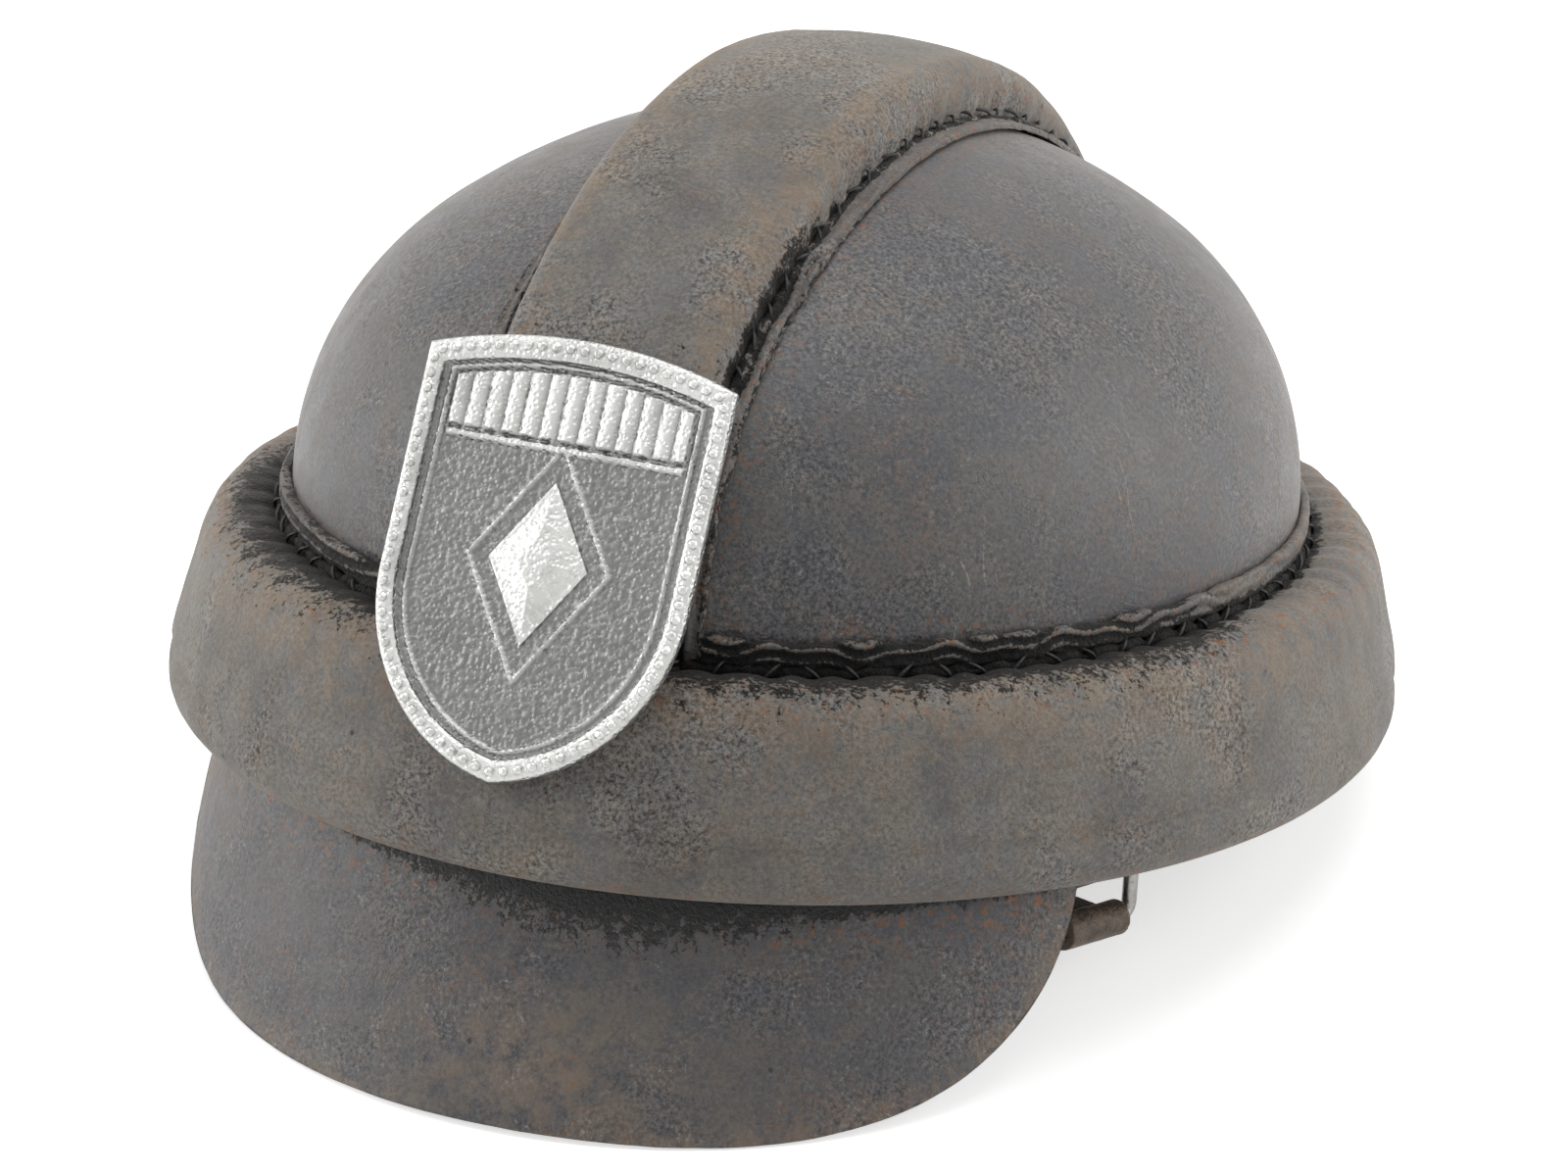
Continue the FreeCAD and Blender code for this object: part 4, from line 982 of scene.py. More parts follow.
class HELMET_OT_crest(bpy.types.Operator):
    """Lay the crest's padded leather over its stations and pull it in at the stitches"""
    bl_idname = "helmet.crest"
    bl_label = "Crest"
    bl_options = {"REGISTER", "UNDO"}

    def execute(self, context):
        form, seams = context.scene.helmet_form, context.scene.helmet_seams
        draws = random.Random(seams.seed)
        path, outward = crest_stations(form)
        run = run_along(path)
        crest = capped(laid("crest", crest_rows(form, path, outward), round_about=True))
        points = points_of(crest)
        nearest = nearest_to(points[:, 1:], path)
        over = np.clip(above_shell(form, points), 0, None)
        across = np.abs(points[:, 0])
        stitches = {side: stitch_places(run[-1], seams.pitch, draws) for side in (1, -1)}
        pull = np.zeros(len(points))
        for side, places in stitches.items():
            there = points[:, 0] * side > 0
            pull[there] = pinch(run[nearest[there]], places, seams.pucker_width)
        outside, skin = across > form.crest_half - 0.0005, over > 0.0006
        reach = over / seams.pucker_reach
        dip = pull * reach * np.exp(1 - reach) * seams.pucker * 0.7
        swell = 0.5 * seams.swell * np.sin(np.pi * np.clip(over / 0.010, 0, 1))
        ends = np.minimum(run[nearest], run[-1] - run[nearest])
        bend = 0.003
        tuck = bend - np.sqrt(bend ** 2 - (bend - np.minimum(ends, bend)) ** 2)
        push(crest, skin * (outside * (swell - dip) - tuck))
        stuff(crest, COVER_GRID, seams.pressure, seams.puff, lambda spots: smooth_step(
            0.004, 0.0, spots[:, 2] - crown_height(form, np.hypot(spots[:, 0], spots[:, 1]))))
        wrinkle(crest, 0.03, 0.0007, "crest_swell")
        wrinkle(crest, 0.007, 0.00022, "crest_dents")
        near = np.minimum(np.where(outside, over, over + 0.006), ends * 1.3)
        ahead = run[nearest] / run[-1]
        wide = smooth_step(0.44, 0.28, ahead) + smooth_step(0.82, 0.94, ahead)
        note(crest, seam=np.maximum(1.05 - near / 0.0027, wide * (0.68 - near / 0.042))
             + 0.45 * pull * hump(near, 0, 0.0035),
             wear=hump(across, form.crest_half - 0.004, 0.004) * (over > 0.006),
             rust=0.5 * hump(near, 0.007, 0.003))
        settle(crest)
        dress(crest, "cover_leather", "helmet", "crest_cover", "crest_core", angle=60)
        made = [crest]
        draws = random.Random(seams.seed + 3)
        for side, name in ((1, "left"), (-1, "right")):
            made.append(self.cord(form, seams, path, outward, run, side, name, stitches, draws))
            made.append(self.threads(form, seams, path, outward, run, side, name, stitches,
                                     draws))
        return finished(*made)

    def cord(self, form, seams, path, outward, run, side, name, stitches, draws):
        """The waxed cord down one side of the crest."""
        beads, radii = [], []
        for place, out in zip(path[2:-2], outward[2:-2]):
            foot = place - out * (crest_depth(form, place, out, form.crest_half) - 0.0009)
            beads.append((side * (form.crest_half + 0.0007 + draws.uniform(0, 0.0004)), *foot))
            radii.append(seams.cord * draws.uniform(0.75, 1.15))
        pull = pinch(run[2:-2], stitches[side], seams.pucker_width)
        cord = tube("crest_cord_" + name, beads, radii * (1.1 - 0.55 * pull))
        nearest = nearest_to(points_of(cord), np.array(beads))
        note(cord, seam=0.52 + 0.45 * pull[nearest], rust=0.3, wear=0)
        wrinkle(cord, 0.0022, 0.0011, "crest_cord_lumps")
        settle(cord)
        return dress(cord, "cover_leather", "helmet", angle=70)

    def threads(self, form, seams, path, outward, run, side, name, stitches, draws):
        """The threads that hold one side of the crest down."""
        settle_by = settled_matrix()
        unit = thread_unit("crest_stitch", seams.thread, 0.0006)
        spots = []
        for spot in stitches[side][0]:
            index = int(np.argmin(np.abs(run - np.clip(spot, 0.003, run[-1] - 0.003))))
            place, out = path[index], outward[index]
            foot = place - out * crest_depth(form, place, out, form.crest_half)
            lean = np.array([0, out[1], -out[0]]) * draws.choice((-1, 1))
            lean *= draws.uniform(0.0008, 0.0022)
            ends = []
            for aside, rise, way in ((0.0002, 0.0030, 1), (0.0020, 0.0021, -1)):
                end = np.array([side * (form.crest_half + aside), *(foot + out * rise)])
                ends.append(settle_by @ Vector(end + lean * way))
            spots.append(between(*ends, (side * 0.7, *out)))
        threads = copies(unit, spots, "crest_stitches_" + name)
        return dress(threads, "seam_thread", "helmet", slot="welt_leather", angle=70)


class HELMET_OT_ring(bpy.types.Operator):
    """Spin the padded ring's section, draw it in at every stitch and sew its top seam"""
    bl_idname = "helmet.ring"
    bl_label = "Padded ring"
    bl_options = {"REGISTER", "UNDO"}

    def execute(self, context):
        form, seams = context.scene.helmet_form, context.scene.helmet_seams
        angles, runs = ring_length(form)
        stitches = stitch_places(runs[-1], seams.pitch, random.Random(seams.seed + 1))
        ring = turned("padded_ring", self.section(form), RING_STEPS)
        x, y, z = points_of(ring).T
        radius = np.hypot(x, y)
        along = np.interp(np.arctan2(y, x), angles, runs)
        from_seam = np.hypot(radius - form.seam_radius, z - form.seam_height)
        outer = (radius > form.seam_radius + 0.0004) & (z > form.flange_top)
        pull = pinch(along, stitches, seams.pucker_width)
        wide = pinch(along, stitches, seams.pucker_width * 1.9)
        near = from_seam / seams.pucker_reach
        far = near / 3.2
        gathered = smooth_step(-0.3, 0.4, y / radius) * smooth_step(0.2, 0.9, x / radius)
        fold = seams.pucker * ((pull - 0.35) * near * np.exp(1 - near)
                               + (wide - 0.5) * far ** 2 * np.exp(2 - 2 * far)
                               * (0.15 + 0.40 * gathered))
        wall = smooth_step(0.006, 0.018, z) * smooth_step(0.044, 0.034, z)
        belly = seams.swell * 1.2 * wall * (radius > form.ring_shoulder)
        push(ring, outer * (belly - fold))
        keep = points_of(ring)
        raised = smooth_step(0.001, 0.006, z) * (radius > form.ring_inner + 0.001)
        stuff(ring, COVER_GRID, seams.pressure, seams.puff, lambda spots: smooth_step(
            form.ring_inner + 0.005, form.ring_inner, np.hypot(spots[:, 0], spots[:, 1])))
        wrinkle(ring, 0.035, 0.0011, "ring_swell")
        wrinkle(ring, 0.009, 0.0003, "ring_dents")
        put_points(ring, keep + (points_of(ring) - keep) * raised[:, None])
        facing = smooth_step(-0.02, 0.06, y) * smooth_step(-0.02, 0.05, x)
        front = smooth_step(0.03, -0.05, y)
        fringe = np.maximum(1.05 - from_seam / 0.0095, front * (0.84 - from_seam / 0.036))
        hem = (z < 0.004) * (radius > form.ring_inner)
        note(ring, seam=np.where(outer, fringe + 0.25 * pull * hump(from_seam, 0, 0.004), 0.2),
             wear=0.7 * hump(from_seam, 0.015, 0.006),
             rust=np.maximum(hump(from_seam, 0.0125, 0.0035) * (0.8 + 0.2 * facing),
                             hem * 0.45))
        settle(ring)
        dress(ring, "cover_leather", "helmet", "band_cover", "band_core", angle=70)
        draws = random.Random(seams.seed + 2)
        return finished(ring, self.threads(form, seams, angles, runs, stitches, draws),
                        self.cord(form, seams, angles, runs, stitches, draws))

    def section(self, form):
        """The ring's closed outline: puffed top, slanted wall, low corner, flange and back."""
        rise = form.ring_top - form.seam_height
        span = form.ring_shoulder - form.seam_radius
        puff = (span ** 2 + rise ** 2) / (2 * rise)
        start = 90 + math.degrees(math.asin(span / puff))
        tilt = math.degrees(math.atan2(form.ring_foot - form.ring_shoulder,
                                       form.ring_top - 2 * form.ring_round))
        high = form.ring_top - form.ring_round
        path = (arc(form.ring_shoulder, form.ring_top - puff, puff, start, 90, 20)
                + arc(form.ring_shoulder, high, form.ring_round, 90, tilt, 10)[1:]
                + arc(form.ring_foot, form.ring_round, form.ring_round, tilt, -90, 12)
                + [(form.ring_inner, 0)])
        back_radius = form.seam_radius + 0.0002
        back = [(form.ring_inner, 0), (form.ring_inner, form.flange_top),
                (back_radius, form.flange_top + 0.0006), (back_radius, form.seam_height - 0.001)]
        return evenly(path, 0.0013).tolist() + evenly(back, 0.004).tolist()[1:]

    def threads(self, form, seams, angles, runs, stitches, draws):
        """The threads from the ring up to the welt over it."""
        settle_by = settled_matrix()
        unit = thread_unit("ring_stitch", seams.thread, 0.0007)
        spots = []
        for place in stitches[0]:
            angle = float(np.interp(place, runs, angles))
            lean = draws.choice((-1, 1)) * draws.uniform(0.008, 0.020)
            low, high = (0.0030, form.seam_height + 0.0010), (0.0020, form.crest_foot)
            high = (high[0], high[1] + draws.uniform(0.0002, 0.0010))
            if abs(math.cos(angle)) * form.shell_radius < form.crest_half + 0.001:
                low, high = (0.0078, form.seam_height + 0.0024), (0.0062, form.crest_foot + 0.0014)
            ends = []
            for (out, height), turn in ((low, angle - lean), (high, angle + lean)):
                radius = form.seam_radius + out
                ends.append(settle_by @ Vector((radius * math.cos(turn),
                                                radius * math.sin(turn), height)))
            spots.append(between(*ends, (math.cos(angle), math.sin(angle), 1)))
        threads = copies(unit, spots, "ring_stitches")
        return dress(threads, "seam_thread", "helmet", slot="welt_leather", angle=70)

    def cord(self, form, seams, angles, runs, stitches, draws):
        """The waxed cord between the ring and the welt, pinched at the stitches."""
        turns = np.linspace(-math.pi, math.pi, RING_STEPS, endpoint=False)
        pull = pinch(np.interp(turns, angles, runs), stitches, seams.pucker_width)
        wander = np.array([draws.uniform(-0.00025, 0.00025) for _ in turns])
        foot = np.abs(np.cos(turns)) * form.shell_radius < form.crest_half + 0.0002
        radii = np.where(foot, FOOT_OUT, CORD_OUT) + form.seam_radius + wander
        heights = form.seam_height + np.where(foot, FOOT_UP, CORD_UP) - pull * 0.0009 + wander
        path = np.stack([radii * np.cos(turns), radii * np.sin(turns), heights], 1)
        cord = tube("ring_cord", path, seams.cord * (1.25 - 0.7 * pull), looped=True)
        x, y, _ = points_of(cord).T
        along = np.interp(np.arctan2(y, x), angles, runs)
        note(cord, seam=0.68 + 0.4 * pinch(along, stitches, seams.pucker_width), rust=0.35,
             wear=0)
        wrinkle(cord, 0.0024, 0.0012, "ring_cord_lumps")
        settle(cord)
        return dress(cord, "cover_leather", "helmet", angle=70)


class HELMET_OT_welts(bpy.types.Operator):
    """Lay the flat welts on the dome, beside the crest and above the ring"""
    bl_idname = "helmet.welts"
    bl_label = "Welts"
    bl_options = {"REGISTER", "UNDO"}

    def execute(self, context):
        form = context.scene.helmet_form
        made = []
        for node in ("crest_welt_left", "crest_welt_right", "band_welt_left", "band_welt_right"):
            welt = copied(node, node + "_strip", 0.0007, 4)
            x, y, z = drawn(points_of(welt)).T
            if node.startswith("crest"):
                edge = np.abs(x) - form.crest_half
                rear = 0.045 * (y > 0)
                ahead = smooth_step(0.132 - rear, 0.112 - rear, z)
                spread, ragged = 0.0062, 0.15
                push(welt, -0.0005 * smooth_step(0.085, 0.115, z))
            else:
                edge = z - form.crest_foot
                ahead = smooth_step(0.3, -0.7, y / form.shell_radius)
                spread, ragged = 0.030, 0.28
            along = y + x
            folds = np.sin(math.tau * edge / 0.0026 + 2.2 * np.sin(along / 0.0065)
                           + 1.4 * np.sin(along / 0.0027 + 1.0))
            push(welt, 0.00045 * folds * (0.25 + 0.75 * ahead))
            wrinkle(welt, 0.010, 0.0006, node + "_waves")
            wrinkle(welt, 0.003, 0.00025, node + "_dents")
            creased = (0.70 + 0.0015 / spread - ragged * folds - edge / spread) * ahead
            line = 0.50 * smooth_step(0.0040, 0.0050, edge) * (0.5 + 0.5 * ahead)
            note(welt, seam=np.maximum(np.maximum(0.80 - edge / 0.0045, creased), line),
                 rust=0.6 * hump(edge, 0.0045, 0.0012), wear=0)
            made.append(dress(welt, "welt_leather", "helmet", node, angle=60))
        return finished(*made)


class HELMET_OT_visor(bpy.types.Operator):
    """Lay the visor from its hidden strip out under the ring and down to its round edge"""
    bl_idname = "helmet.visor"
    bl_label = "Visor"
    bl_options = {"REGISTER", "UNDO"}

    def execute(self, context):
        form = context.scene.helmet_form
        visor = laid("visor_leaf", self.rows(form))
        modify(visor, "SOLIDIFY", thickness=form.visor_leather, offset=0)
        modify(visor, "BEVEL", width=0.0007, segments=3, limit_method="ANGLE",
               angle_limit=math.radians(50))
        wrinkle(visor, 0.05, 0.0009, "visor_waves")
        wrinkle(visor, 0.006, 0.00018, "visor_dents")
        x, y, z = points_of(visor).T
        down = np.clip(-z, 0, 1)
        centre = hump(x, 0.02, 0.045)
        rim = form.visor_edge - np.hypot(y + form.visor_edge_back, z - form.visor_edge_up)
        dusty = 0.8 * hump(x, 0.01, 0.03) * hump(rim, 0.012, 0.016)
        note(visor, seam=0.72 + 0.04 * centre - down / (0.007 + 0.033 * centre),
             rust=0.9 * hump(down, 0.004, 0.006), wear=np.maximum(1 - rim / 0.006, dusty))
        settle(visor)
        dress(visor, "visor_leather", "helmet", "visor", angle=50)
        return finished(visor)

    def rows(self, form):
        """Rows round the visor's leaf: its hidden strip, its shelf and its flank to the edge."""
        flare = math.tan(form.visor_flare)
        inset = form.visor_leather / 2
        base = form.visor_base - inset / math.cos(form.visor_flare)
        shelf = -BEDDED - inset
        gap = form.visor_edge ** 2 - (form.visor_edge_up - shelf) ** 2
        widest = math.acos((form.visor_edge_back - math.sqrt(gap)) / form.visor_base)
        turns = np.sin(np.linspace(-1, 1, VISOR_COLUMNS) * math.pi / 2) * (widest - 0.006)
        low, high = np.full(VISOR_COLUMNS, -0.08), np.full(VISOR_COLUMNS, shelf)
        for _ in range(40):
            middle = (low + high) / 2
            radius = base + (shelf - middle) * flare
            out = ((form.visor_edge_back - radius * np.cos(turns)) ** 2
                   + (middle - form.visor_edge_up) ** 2 > form.visor_edge ** 2)
            low, high = np.where(out, middle, low), np.where(out, high, middle)
        strip = evenly([(form.visor_strip, 0.0132), (form.visor_strip, shelf + 0.002),
                        (form.visor_strip + 0.0006, shelf + 0.0006),
                        (form.visor_strip + 0.002, shelf), (base - 0.0012, shelf)], 0.0015)
        rings = [(np.full(VISOR_COLUMNS, radius), np.full(VISOR_COLUMNS, height))
                 for radius, height in strip]
        for share in np.arange(VISOR_ROWS + 1) / VISOR_ROWS:
            heights = shelf + (high - shelf) * share
            rings.append((base + (shelf - heights) * flare, heights))
        return [np.stack([radius * np.sin(turns), -radius * np.cos(turns), heights], 1)
                for radius, heights in rings]


class HELMET_OT_liner(bpy.types.Operator):
    """Dress the rim binding, sweatband, tongues and disc in supple leather"""
    bl_idname = "helmet.liner"
    bl_label = "Liner"
    bl_options = {"REGISTER", "UNDO"}

    def execute(self, context):
        made = []
        plans = [("rim_binding", "binding_strip", 0.0009), ("sweatband", "sweatband_strip", 0.0012),
                 ("liner_disc", "crown_disc", 0.0008)]
        plans += [("liner_tongue_%d" % number, "tongue_%d" % number, 0.0009)
                  for number in range(1, 9)]
        for node, name, voxel in plans:
            piece = copied(node, name, voxel, 3)
            wrinkle(piece, 0.018, 0.0009, name + "_waves")
            wrinkle(piece, 0.004, 0.0002, name + "_creases")
            height = drawn(points_of(piece))[:, 2]
            note(piece, seam=0, rust=0, wear=smooth_step(0.03, 0.0, height))
            binding = node == "rim_binding"
            made.append(dress(piece, "dome_leather" if binding else "liner_leather", "helmet",
                              node, slot="welt_leather" if binding else None, angle=60))
        made.append(sewn_round(made[1], "sweatband_stitches", (0.009, 0.0125), 0.0045, 0.00038))
        made.append(sewn_round(made[0], "binding_stitches", (0.008,), 0.0050, 0.00042))
        return finished(*made)


class HELMET_OT_pads(bpy.types.Operator):
    """Swell the felt pads behind the sweatband and under the crown as stuffed cushions"""
    bl_idname = "helmet.pads"
    bl_label = "Felt pads"
    bl_options = {"REGISTER", "UNDO"}

    def execute(self, context):
        seams = context.scene.helmet_seams
        made = []
        for node in ("front_pad", "rear_pad", "left_pad", "right_pad", "crown_pad"):
            pad = copied(node, node + "_felt", 0.0022, 8)
            stuff(pad, PAD_GRID, seams.pressure, seams.puff)
            wrinkle(pad, 0.012, 0.0008, node + "_lumps")
            modify(pad, "SUBSURF", levels=1, render_levels=1)
            wrinkle(pad, 0.002, 0.0004, node + "_nap")
            made.append(dress(pad, "felt", "helmet", node, angle=70))
        return finished(*made)


class HELMET_OT_straps(bpy.types.Operator):
    """Dress the anchor loops, both chin straps and the keeper, with worn rounded edges"""
    bl_idname = "helmet.straps"
    bl_label = "Straps"
    bl_options = {"REGISTER", "UNDO"}

    def execute(self, context):
        made = []
        plans = {"left_strap_loop": "helmet", "right_strap_loop": "helmet",
                 "left_strap": "left_strap_body", "right_strap": "right_strap_body",
                 "strap_keeper": "keeper_body"}
        for node, body in plans.items():
            piece = copied(node, node + "_leather", 0.0005, 2)
            wrinkle(piece, 0.006, 0.00018, node + "_creases")
            middle = np.array(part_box(node)).mean(0)[1]
            off = np.abs(points_of(piece)[:, 1] - middle)
            note(piece, seam=0, rust=0, wear=smooth_step(0.006, 0.0092, off))
            made.append(dress(piece, "strap_leather", body, node, angle=60))
        return finished(*made)


class HELMET_OT_badge(bpy.types.Operator):
    """Cast the plain zinc shield: a beaded rim, a stippled field and a lozenge boss"""
    bl_idname = "helmet.badge"
    bl_label = "Shield"
    bl_options = {"REGISTER", "UNDO"}

    def execute(self, context):
        form = context.scene.helmet_form
        field_top = form.badge_thick - form.badge_field
        plate, boss = self.plate(form, field_top), self.boss(form, field_top)
        beads = self.beads(form)
        for obj in (plate, boss, beads):
            obj.matrix_world = (Matrix.Translation(form.badge_place)
                                @ Matrix.Rotation(form.badge_lean, 4, "X"))
            pick(obj)
            bpy.ops.object.transform_apply(location=True, rotation=True, scale=True)
            nodes = ["badge_plate"] if obj is plate else []
            dress(obj, "cast_zinc", "helmet", *nodes, angle=35)
        return finished(plate, boss, beads)

    def outline(self, form, inset):
        """Points round the shield, set in by a margin."""
        half, top = form.badge_half - inset, form.badge_above - inset
        low, point = -form.badge_below, -(form.badge_point - inset * 1.2)
        drop = low - point
        side = (half ** 2 + drop ** 2) / (2 * half)
        sweep = math.degrees(math.asin(min(1, drop / side)))
        right = arc(half - side, low, side, -sweep, 0, 60)
        bow = form.badge_bow
        lean = math.degrees(math.asin(half / bow))
        crown = arc(0, top - math.sqrt(bow ** 2 - half ** 2), bow, 90 - lean, 90 + lean, 60)
        left = [(-x, y) for x, y in reversed(right)]
        return right + crown + left[:-1]

    def relief(self, form, places):
        """Height of the cast field over its ground: a fillet, a reeded head, a bar and grit."""
        edge = np.array(evenly(self.outline(form, 0), 0.0008))
        deep = np.empty(len(places))
        batch = 4000
        for start in range(0, len(places), batch):
            gap = places[start:start + batch, None] - edge[None]
            deep[start:start + batch] = np.sqrt((gap ** 2).sum(2).min(1))
        x, y = places.T
        inner = smooth_step(form.badge_rim + 0.0032, form.badge_rim + 0.0038, deep)
        head = inner * smooth_step(form.badge_bar + 0.0012, form.badge_bar + 0.0022, y)
        across = 2 * ((x / form.badge_reed + 0.5) % 1) - 1
        reach = np.abs(x) / form.boss_half + np.abs(y + form.boss_drop) / form.boss_tall
        height = (0.0006 * np.exp(-((deep - form.badge_rim - 0.0022) / 0.0005) ** 4)
                  + 0.0008 * np.exp(-((y - form.badge_bar) / 0.0008) ** 4) * inner
                  + 0.0009 * np.sqrt(np.clip(1 - across ** 2, 0, 1)) * head
                  + 0.0006 * np.exp(-((reach - 1.42) / 0.055) ** 4))
        return height, inner * (1 - np.clip(height / 0.0004, 0, 1))

    def plate(self, form, field_top):
        """The shield itself, with its relief and a gritty ground."""
        thick, rim = form.badge_thick, form.badge_rim
        plan = [(0.0010, 0), (0.0002, 0.0003), (0, 0.0009), (0, thick - 0.0009),
                (0.0003, thick - 0.0003), (0.0010, thick), (rim - 0.0010, thick),
                (rim - 0.0002, thick - 0.0004), (rim, field_top), (rim + 0.004, field_top)]
        rows = [[(x, y, z) for x, y in self.outline(form, inset)] for inset, z in plan]
        plate = capped(laid("shield", rows, round_about=True))
        even_skin(plate, 0.0004)
        modify(plate, "SMOOTH", factor=0.5, iterations=2)
        points = points_of(plate)
        face = (points[:, 2] > field_top - 0.0003) & (normals_of(plate)[:, 2] > 0.6)
        height, ground = np.zeros(len(points)), np.zeros(len(points))
        height[face], ground[face] = self.relief(form, points[face, :2])
        points[:, 2] += height
        put_points(plate, points)
        wrinkle(plate, 0.0011, 0.0007, "shield_grit")
        share = 0.05 + 0.95 * ground
        put_points(plate, points + (points_of(plate) - points) * share[:, None])
        rise = np.clip((points_of(plate)[:, 2] - field_top) / 0.0009, 0, 1)
        note(plate, hollow=np.where(face, 1 - rise, 0.3))
        return plate

    def boss(self, form, base):
        """A faceted lozenge on a low stepped foot."""
        clear_selection()
        bpy.ops.mesh.primitive_circle_add(vertices=4, fill_type="NGON")
        boss = named(bpy.context.object, "shield_boss")
        corners = [(form.boss_half, 0), (0, form.boss_tall), (-form.boss_half, 0),
                   (0, -form.boss_tall)]
        put_points(boss, [(x, y - form.boss_drop, base - 0.0003) for x, y in corners])
        with editing(boss):
            bpy.ops.mesh.extrude_region_move(TRANSFORM_OT_translate={"value": (0, 0, 0.0008)})
            bpy.ops.mesh.inset(thickness=0.0011)
            bpy.ops.mesh.extrude_region_move(
                TRANSFORM_OT_translate={"value": (0, 0, form.boss_high - 0.0005)})
            bpy.ops.transform.resize(value=(0.38, 0.38, 1),
                                     center_override=(0, -form.boss_drop, 0))
        close_up(boss)
        modify(boss, "BEVEL", width=0.00025, segments=3, limit_method="ANGLE",
               angle_limit=math.radians(20))
        note(boss, hollow=0)
        return boss

    def beads(self, form):
        """A row of small beads along the middle of the rim."""
        line = self.outline(form, form.badge_rim * 0.45)
        spots = evenly(line + [line[0]], 0.0031)[:-1]
        clear_selection()
        bpy.ops.mesh.primitive_uv_sphere_add(segments=12, ring_count=6, radius=0.0011)
        bead = named(bpy.context.object, "bead")
        with editing(bead):
            bpy.ops.transform.resize(value=(1, 1, 0.75))
        places = [Matrix.Translation((x, y, form.badge_thick)) for x, y in spots]
        beads = copies(bead, places, "shield_beads")
        note(beads, hollow=0)
        return beads


class HELMET_OT_metals(bpy.types.Operator):
    """Give the steel rings, buckle, rivets, studs and nuts their finishes"""
    bl_idname = "helmet.metals"
    bl_label = "Metals"
    bl_options = {"REGISTER", "UNDO"}

    def execute(self, context):
        looks = {"steel": ("left_ring", "right_ring", "buckle_frame", "buckle_roller",
                           "buckle_prong"),
                 "rivet_steel": ("anchor_rivets", "badge_studs", "badge_washers", "badge_nuts")}
        for look, nodes in looks.items():
            for node in nodes:
                mesh = CAD[node].data
                mesh.materials.clear()
                mesh.materials.append(finish(look))
        return {"FINISHED"}


# Stage

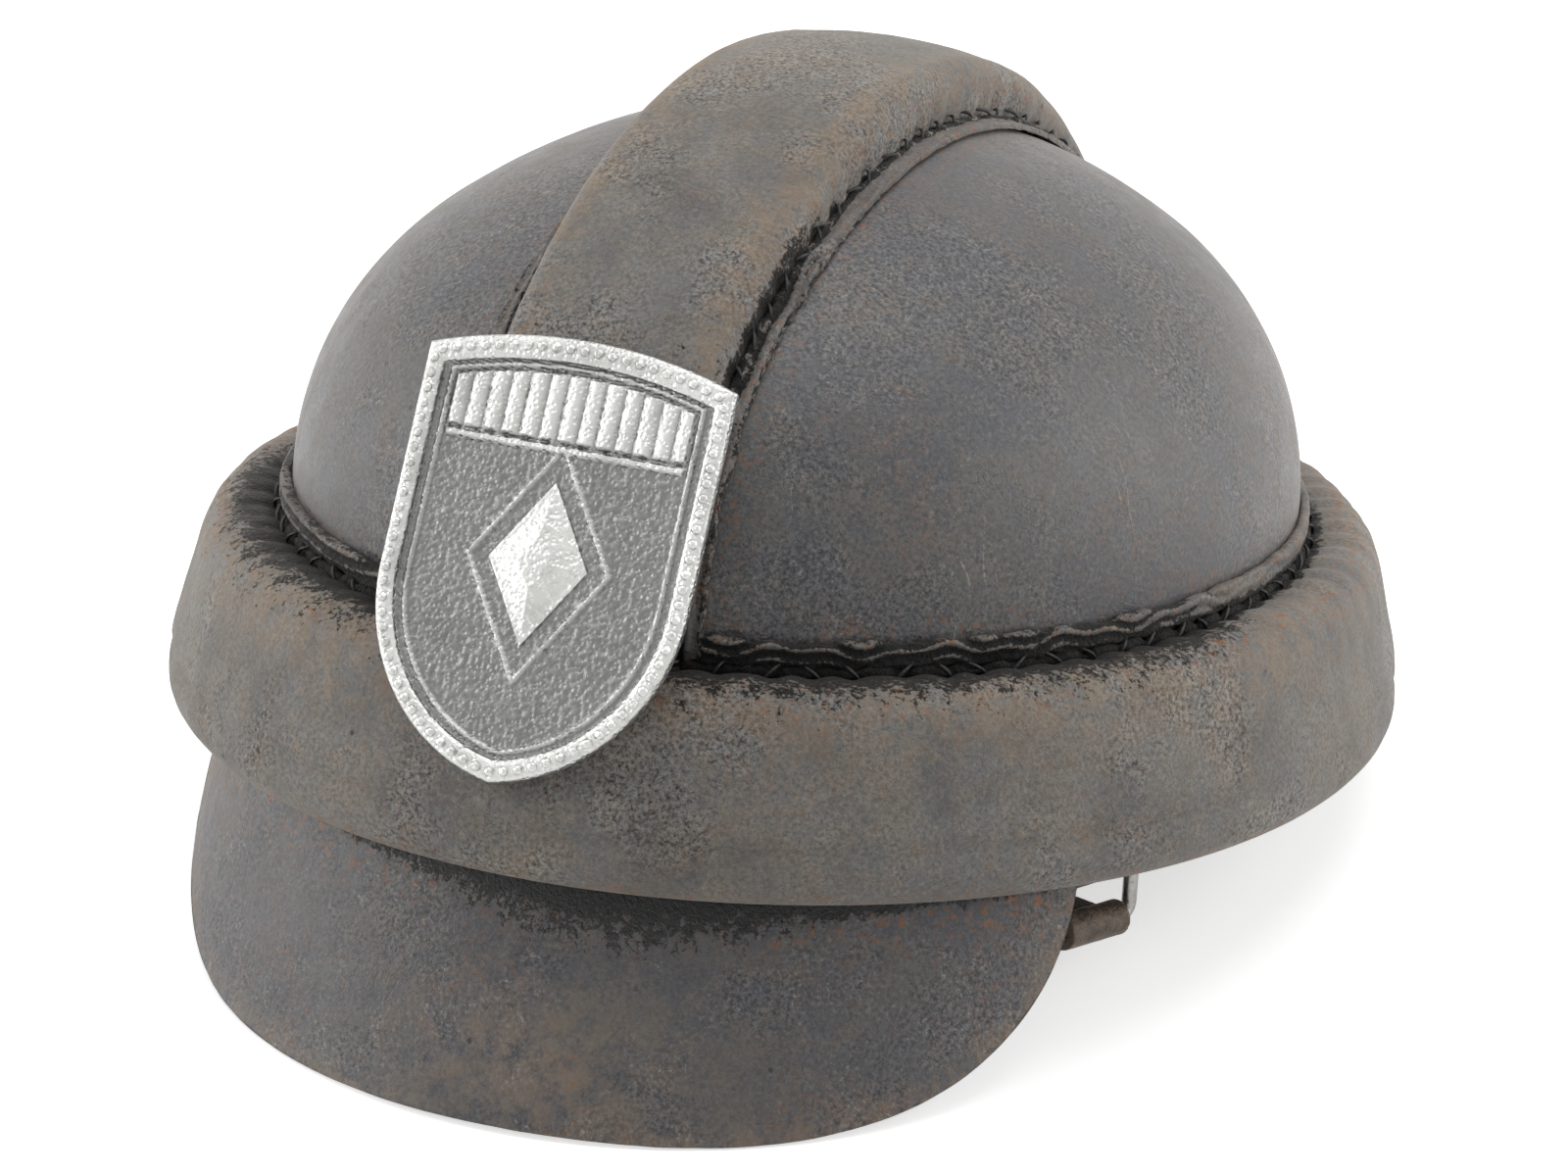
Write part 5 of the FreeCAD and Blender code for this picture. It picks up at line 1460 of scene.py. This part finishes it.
class HELMET_OT_stage(bpy.types.Operator):
    """Set up the floor, the soft lamps and the camera"""
    bl_idname = "helmet.stage"
    bl_label = "Stage"
    bl_options = {"REGISTER", "UNDO"}

    def execute(self, context):
        stage = context.scene.helmet_stage
        clear_selection()
        self.floor(stage, context.scene.helmet_finish)
        self.lamps(stage)
        self.surroundings(stage)
        self.camera(context, stage)
        context.scene.view_settings.view_transform = "Standard"
        return {"FINISHED"}

    def floor(self, stage, tone):
        bpy.ops.mesh.primitive_plane_add(size=stage.floor_size, location=(0, 0, 0))
        floor = named(bpy.context.object, "floor")
        board = Skin("floor_card")
        board.set(Base_Color=tuple(tone.floor), Roughness=0.9, Specular_IOR_Level=0.1,
                  Emission_Color=(1.0, 1.0, 1.0),
                  Emission_Strength=board.times(board.seen(), stage.floor_glow))
        floor.data.materials.append(board.material)

    def lamps(self, stage):
        plan = [("left_lamp", (-2.1, -0.7, 0.9), 1.8, 29.0),
                ("right_lamp", (2.0, 1.0, 0.9), 1.8, 26.0),
                ("top_lamp", (0.0, 0.5, 2.6), 2.4, 34.0),
                ("front_lamp", (0.2, -2.0, 1.8), 2.0, 1.0)]
        for name, place, size, power in plan:
            bpy.ops.object.light_add(type="AREA", location=place)
            lamp = bpy.context.object
            lamp.name = name
            lamp.data.size = size
            lamp.data.energy = power * stage.lamp_share
            aim = Vector((0, 0, 0.08)) - Vector(place)
            lamp.rotation_euler = aim.to_track_quat("-Z", "Y").to_euler()

    def surroundings(self, stage):
        world = bpy.data.worlds.new("surroundings")
        bpy.context.scene.world = world
        board = Board(world)
        back = board.tree.nodes["Background"].inputs
        level = board.add("MapRange", {"Value": board.seen(), "To Min": stage.world_light,
                                       "To Max": 1.0})
        board.feed(back["Color"], (1, 1, 1))
        board.feed(back["Strength"], level.outputs["Result"])

    def camera(self, context, stage):
        bpy.ops.object.camera_add(location=stage.camera_place)
        camera = bpy.context.object
        camera.name = "photo_camera"
        aim = Vector(stage.camera_aim) - Vector(stage.camera_place)
        turn = aim.to_track_quat("-Z", "Y").to_matrix() @ Matrix.Rotation(
            stage.camera_roll, 3, "Z")
        camera.rotation_euler = turn.to_euler()
        camera.data.lens = stage.camera_lens
        camera.data.sensor_width = 36
        context.scene.camera = camera


class HELMET_PT_pieces(bpy.types.Panel):
    """Lists the operators that make the helmet, with its sizes and colours"""
    bl_idname = "HELMET_PT_pieces"
    bl_label = "Helmet"
    bl_space_type = "VIEW_3D"
    bl_region_type = "UI"
    bl_category = "Helmet"

    def draw(self, context):
        for operator in OPERATORS:
            self.layout.operator(operator.bl_idname)
        for group in (context.scene.helmet_form, context.scene.helmet_seams,
                      context.scene.helmet_finish, context.scene.helmet_stage):
            box = self.layout.box()
            for name in group.bl_rna.properties.keys():
                if name not in ("rna_type", "name"):
                    box.prop(group, name)


GROUPS = {"helmet_form": HelmetForm, "helmet_seams": HelmetSeams,
          "helmet_finish": HelmetFinish, "helmet_stage": HelmetStage}
OPERATORS = (HELMET_OT_stage, HELMET_OT_dome, HELMET_OT_ring, HELMET_OT_crest,
             HELMET_OT_welts, HELMET_OT_visor, HELMET_OT_badge, HELMET_OT_liner,
             HELMET_OT_pads, HELMET_OT_straps, HELMET_OT_metals)


def register():
    for name, group in GROUPS.items():
        bpy.utils.register_class(group)
        setattr(bpy.types.Scene, name, PointerProperty(type=group))
    for kind in (*OPERATORS, HELMET_PT_pieces):
        bpy.utils.register_class(kind)


def unregister():
    for kind in (HELMET_PT_pieces, *reversed(OPERATORS)):
        bpy.utils.unregister_class(kind)
    for name, group in GROUPS.items():
        delattr(bpy.types.Scene, name)
        bpy.utils.unregister_class(group)


def main():
    register()
    for operator in OPERATORS:
        group, name = operator.bl_idname.split(".")
        getattr(getattr(bpy.ops, group), name)()


if __name__ == "__main__":
    main()
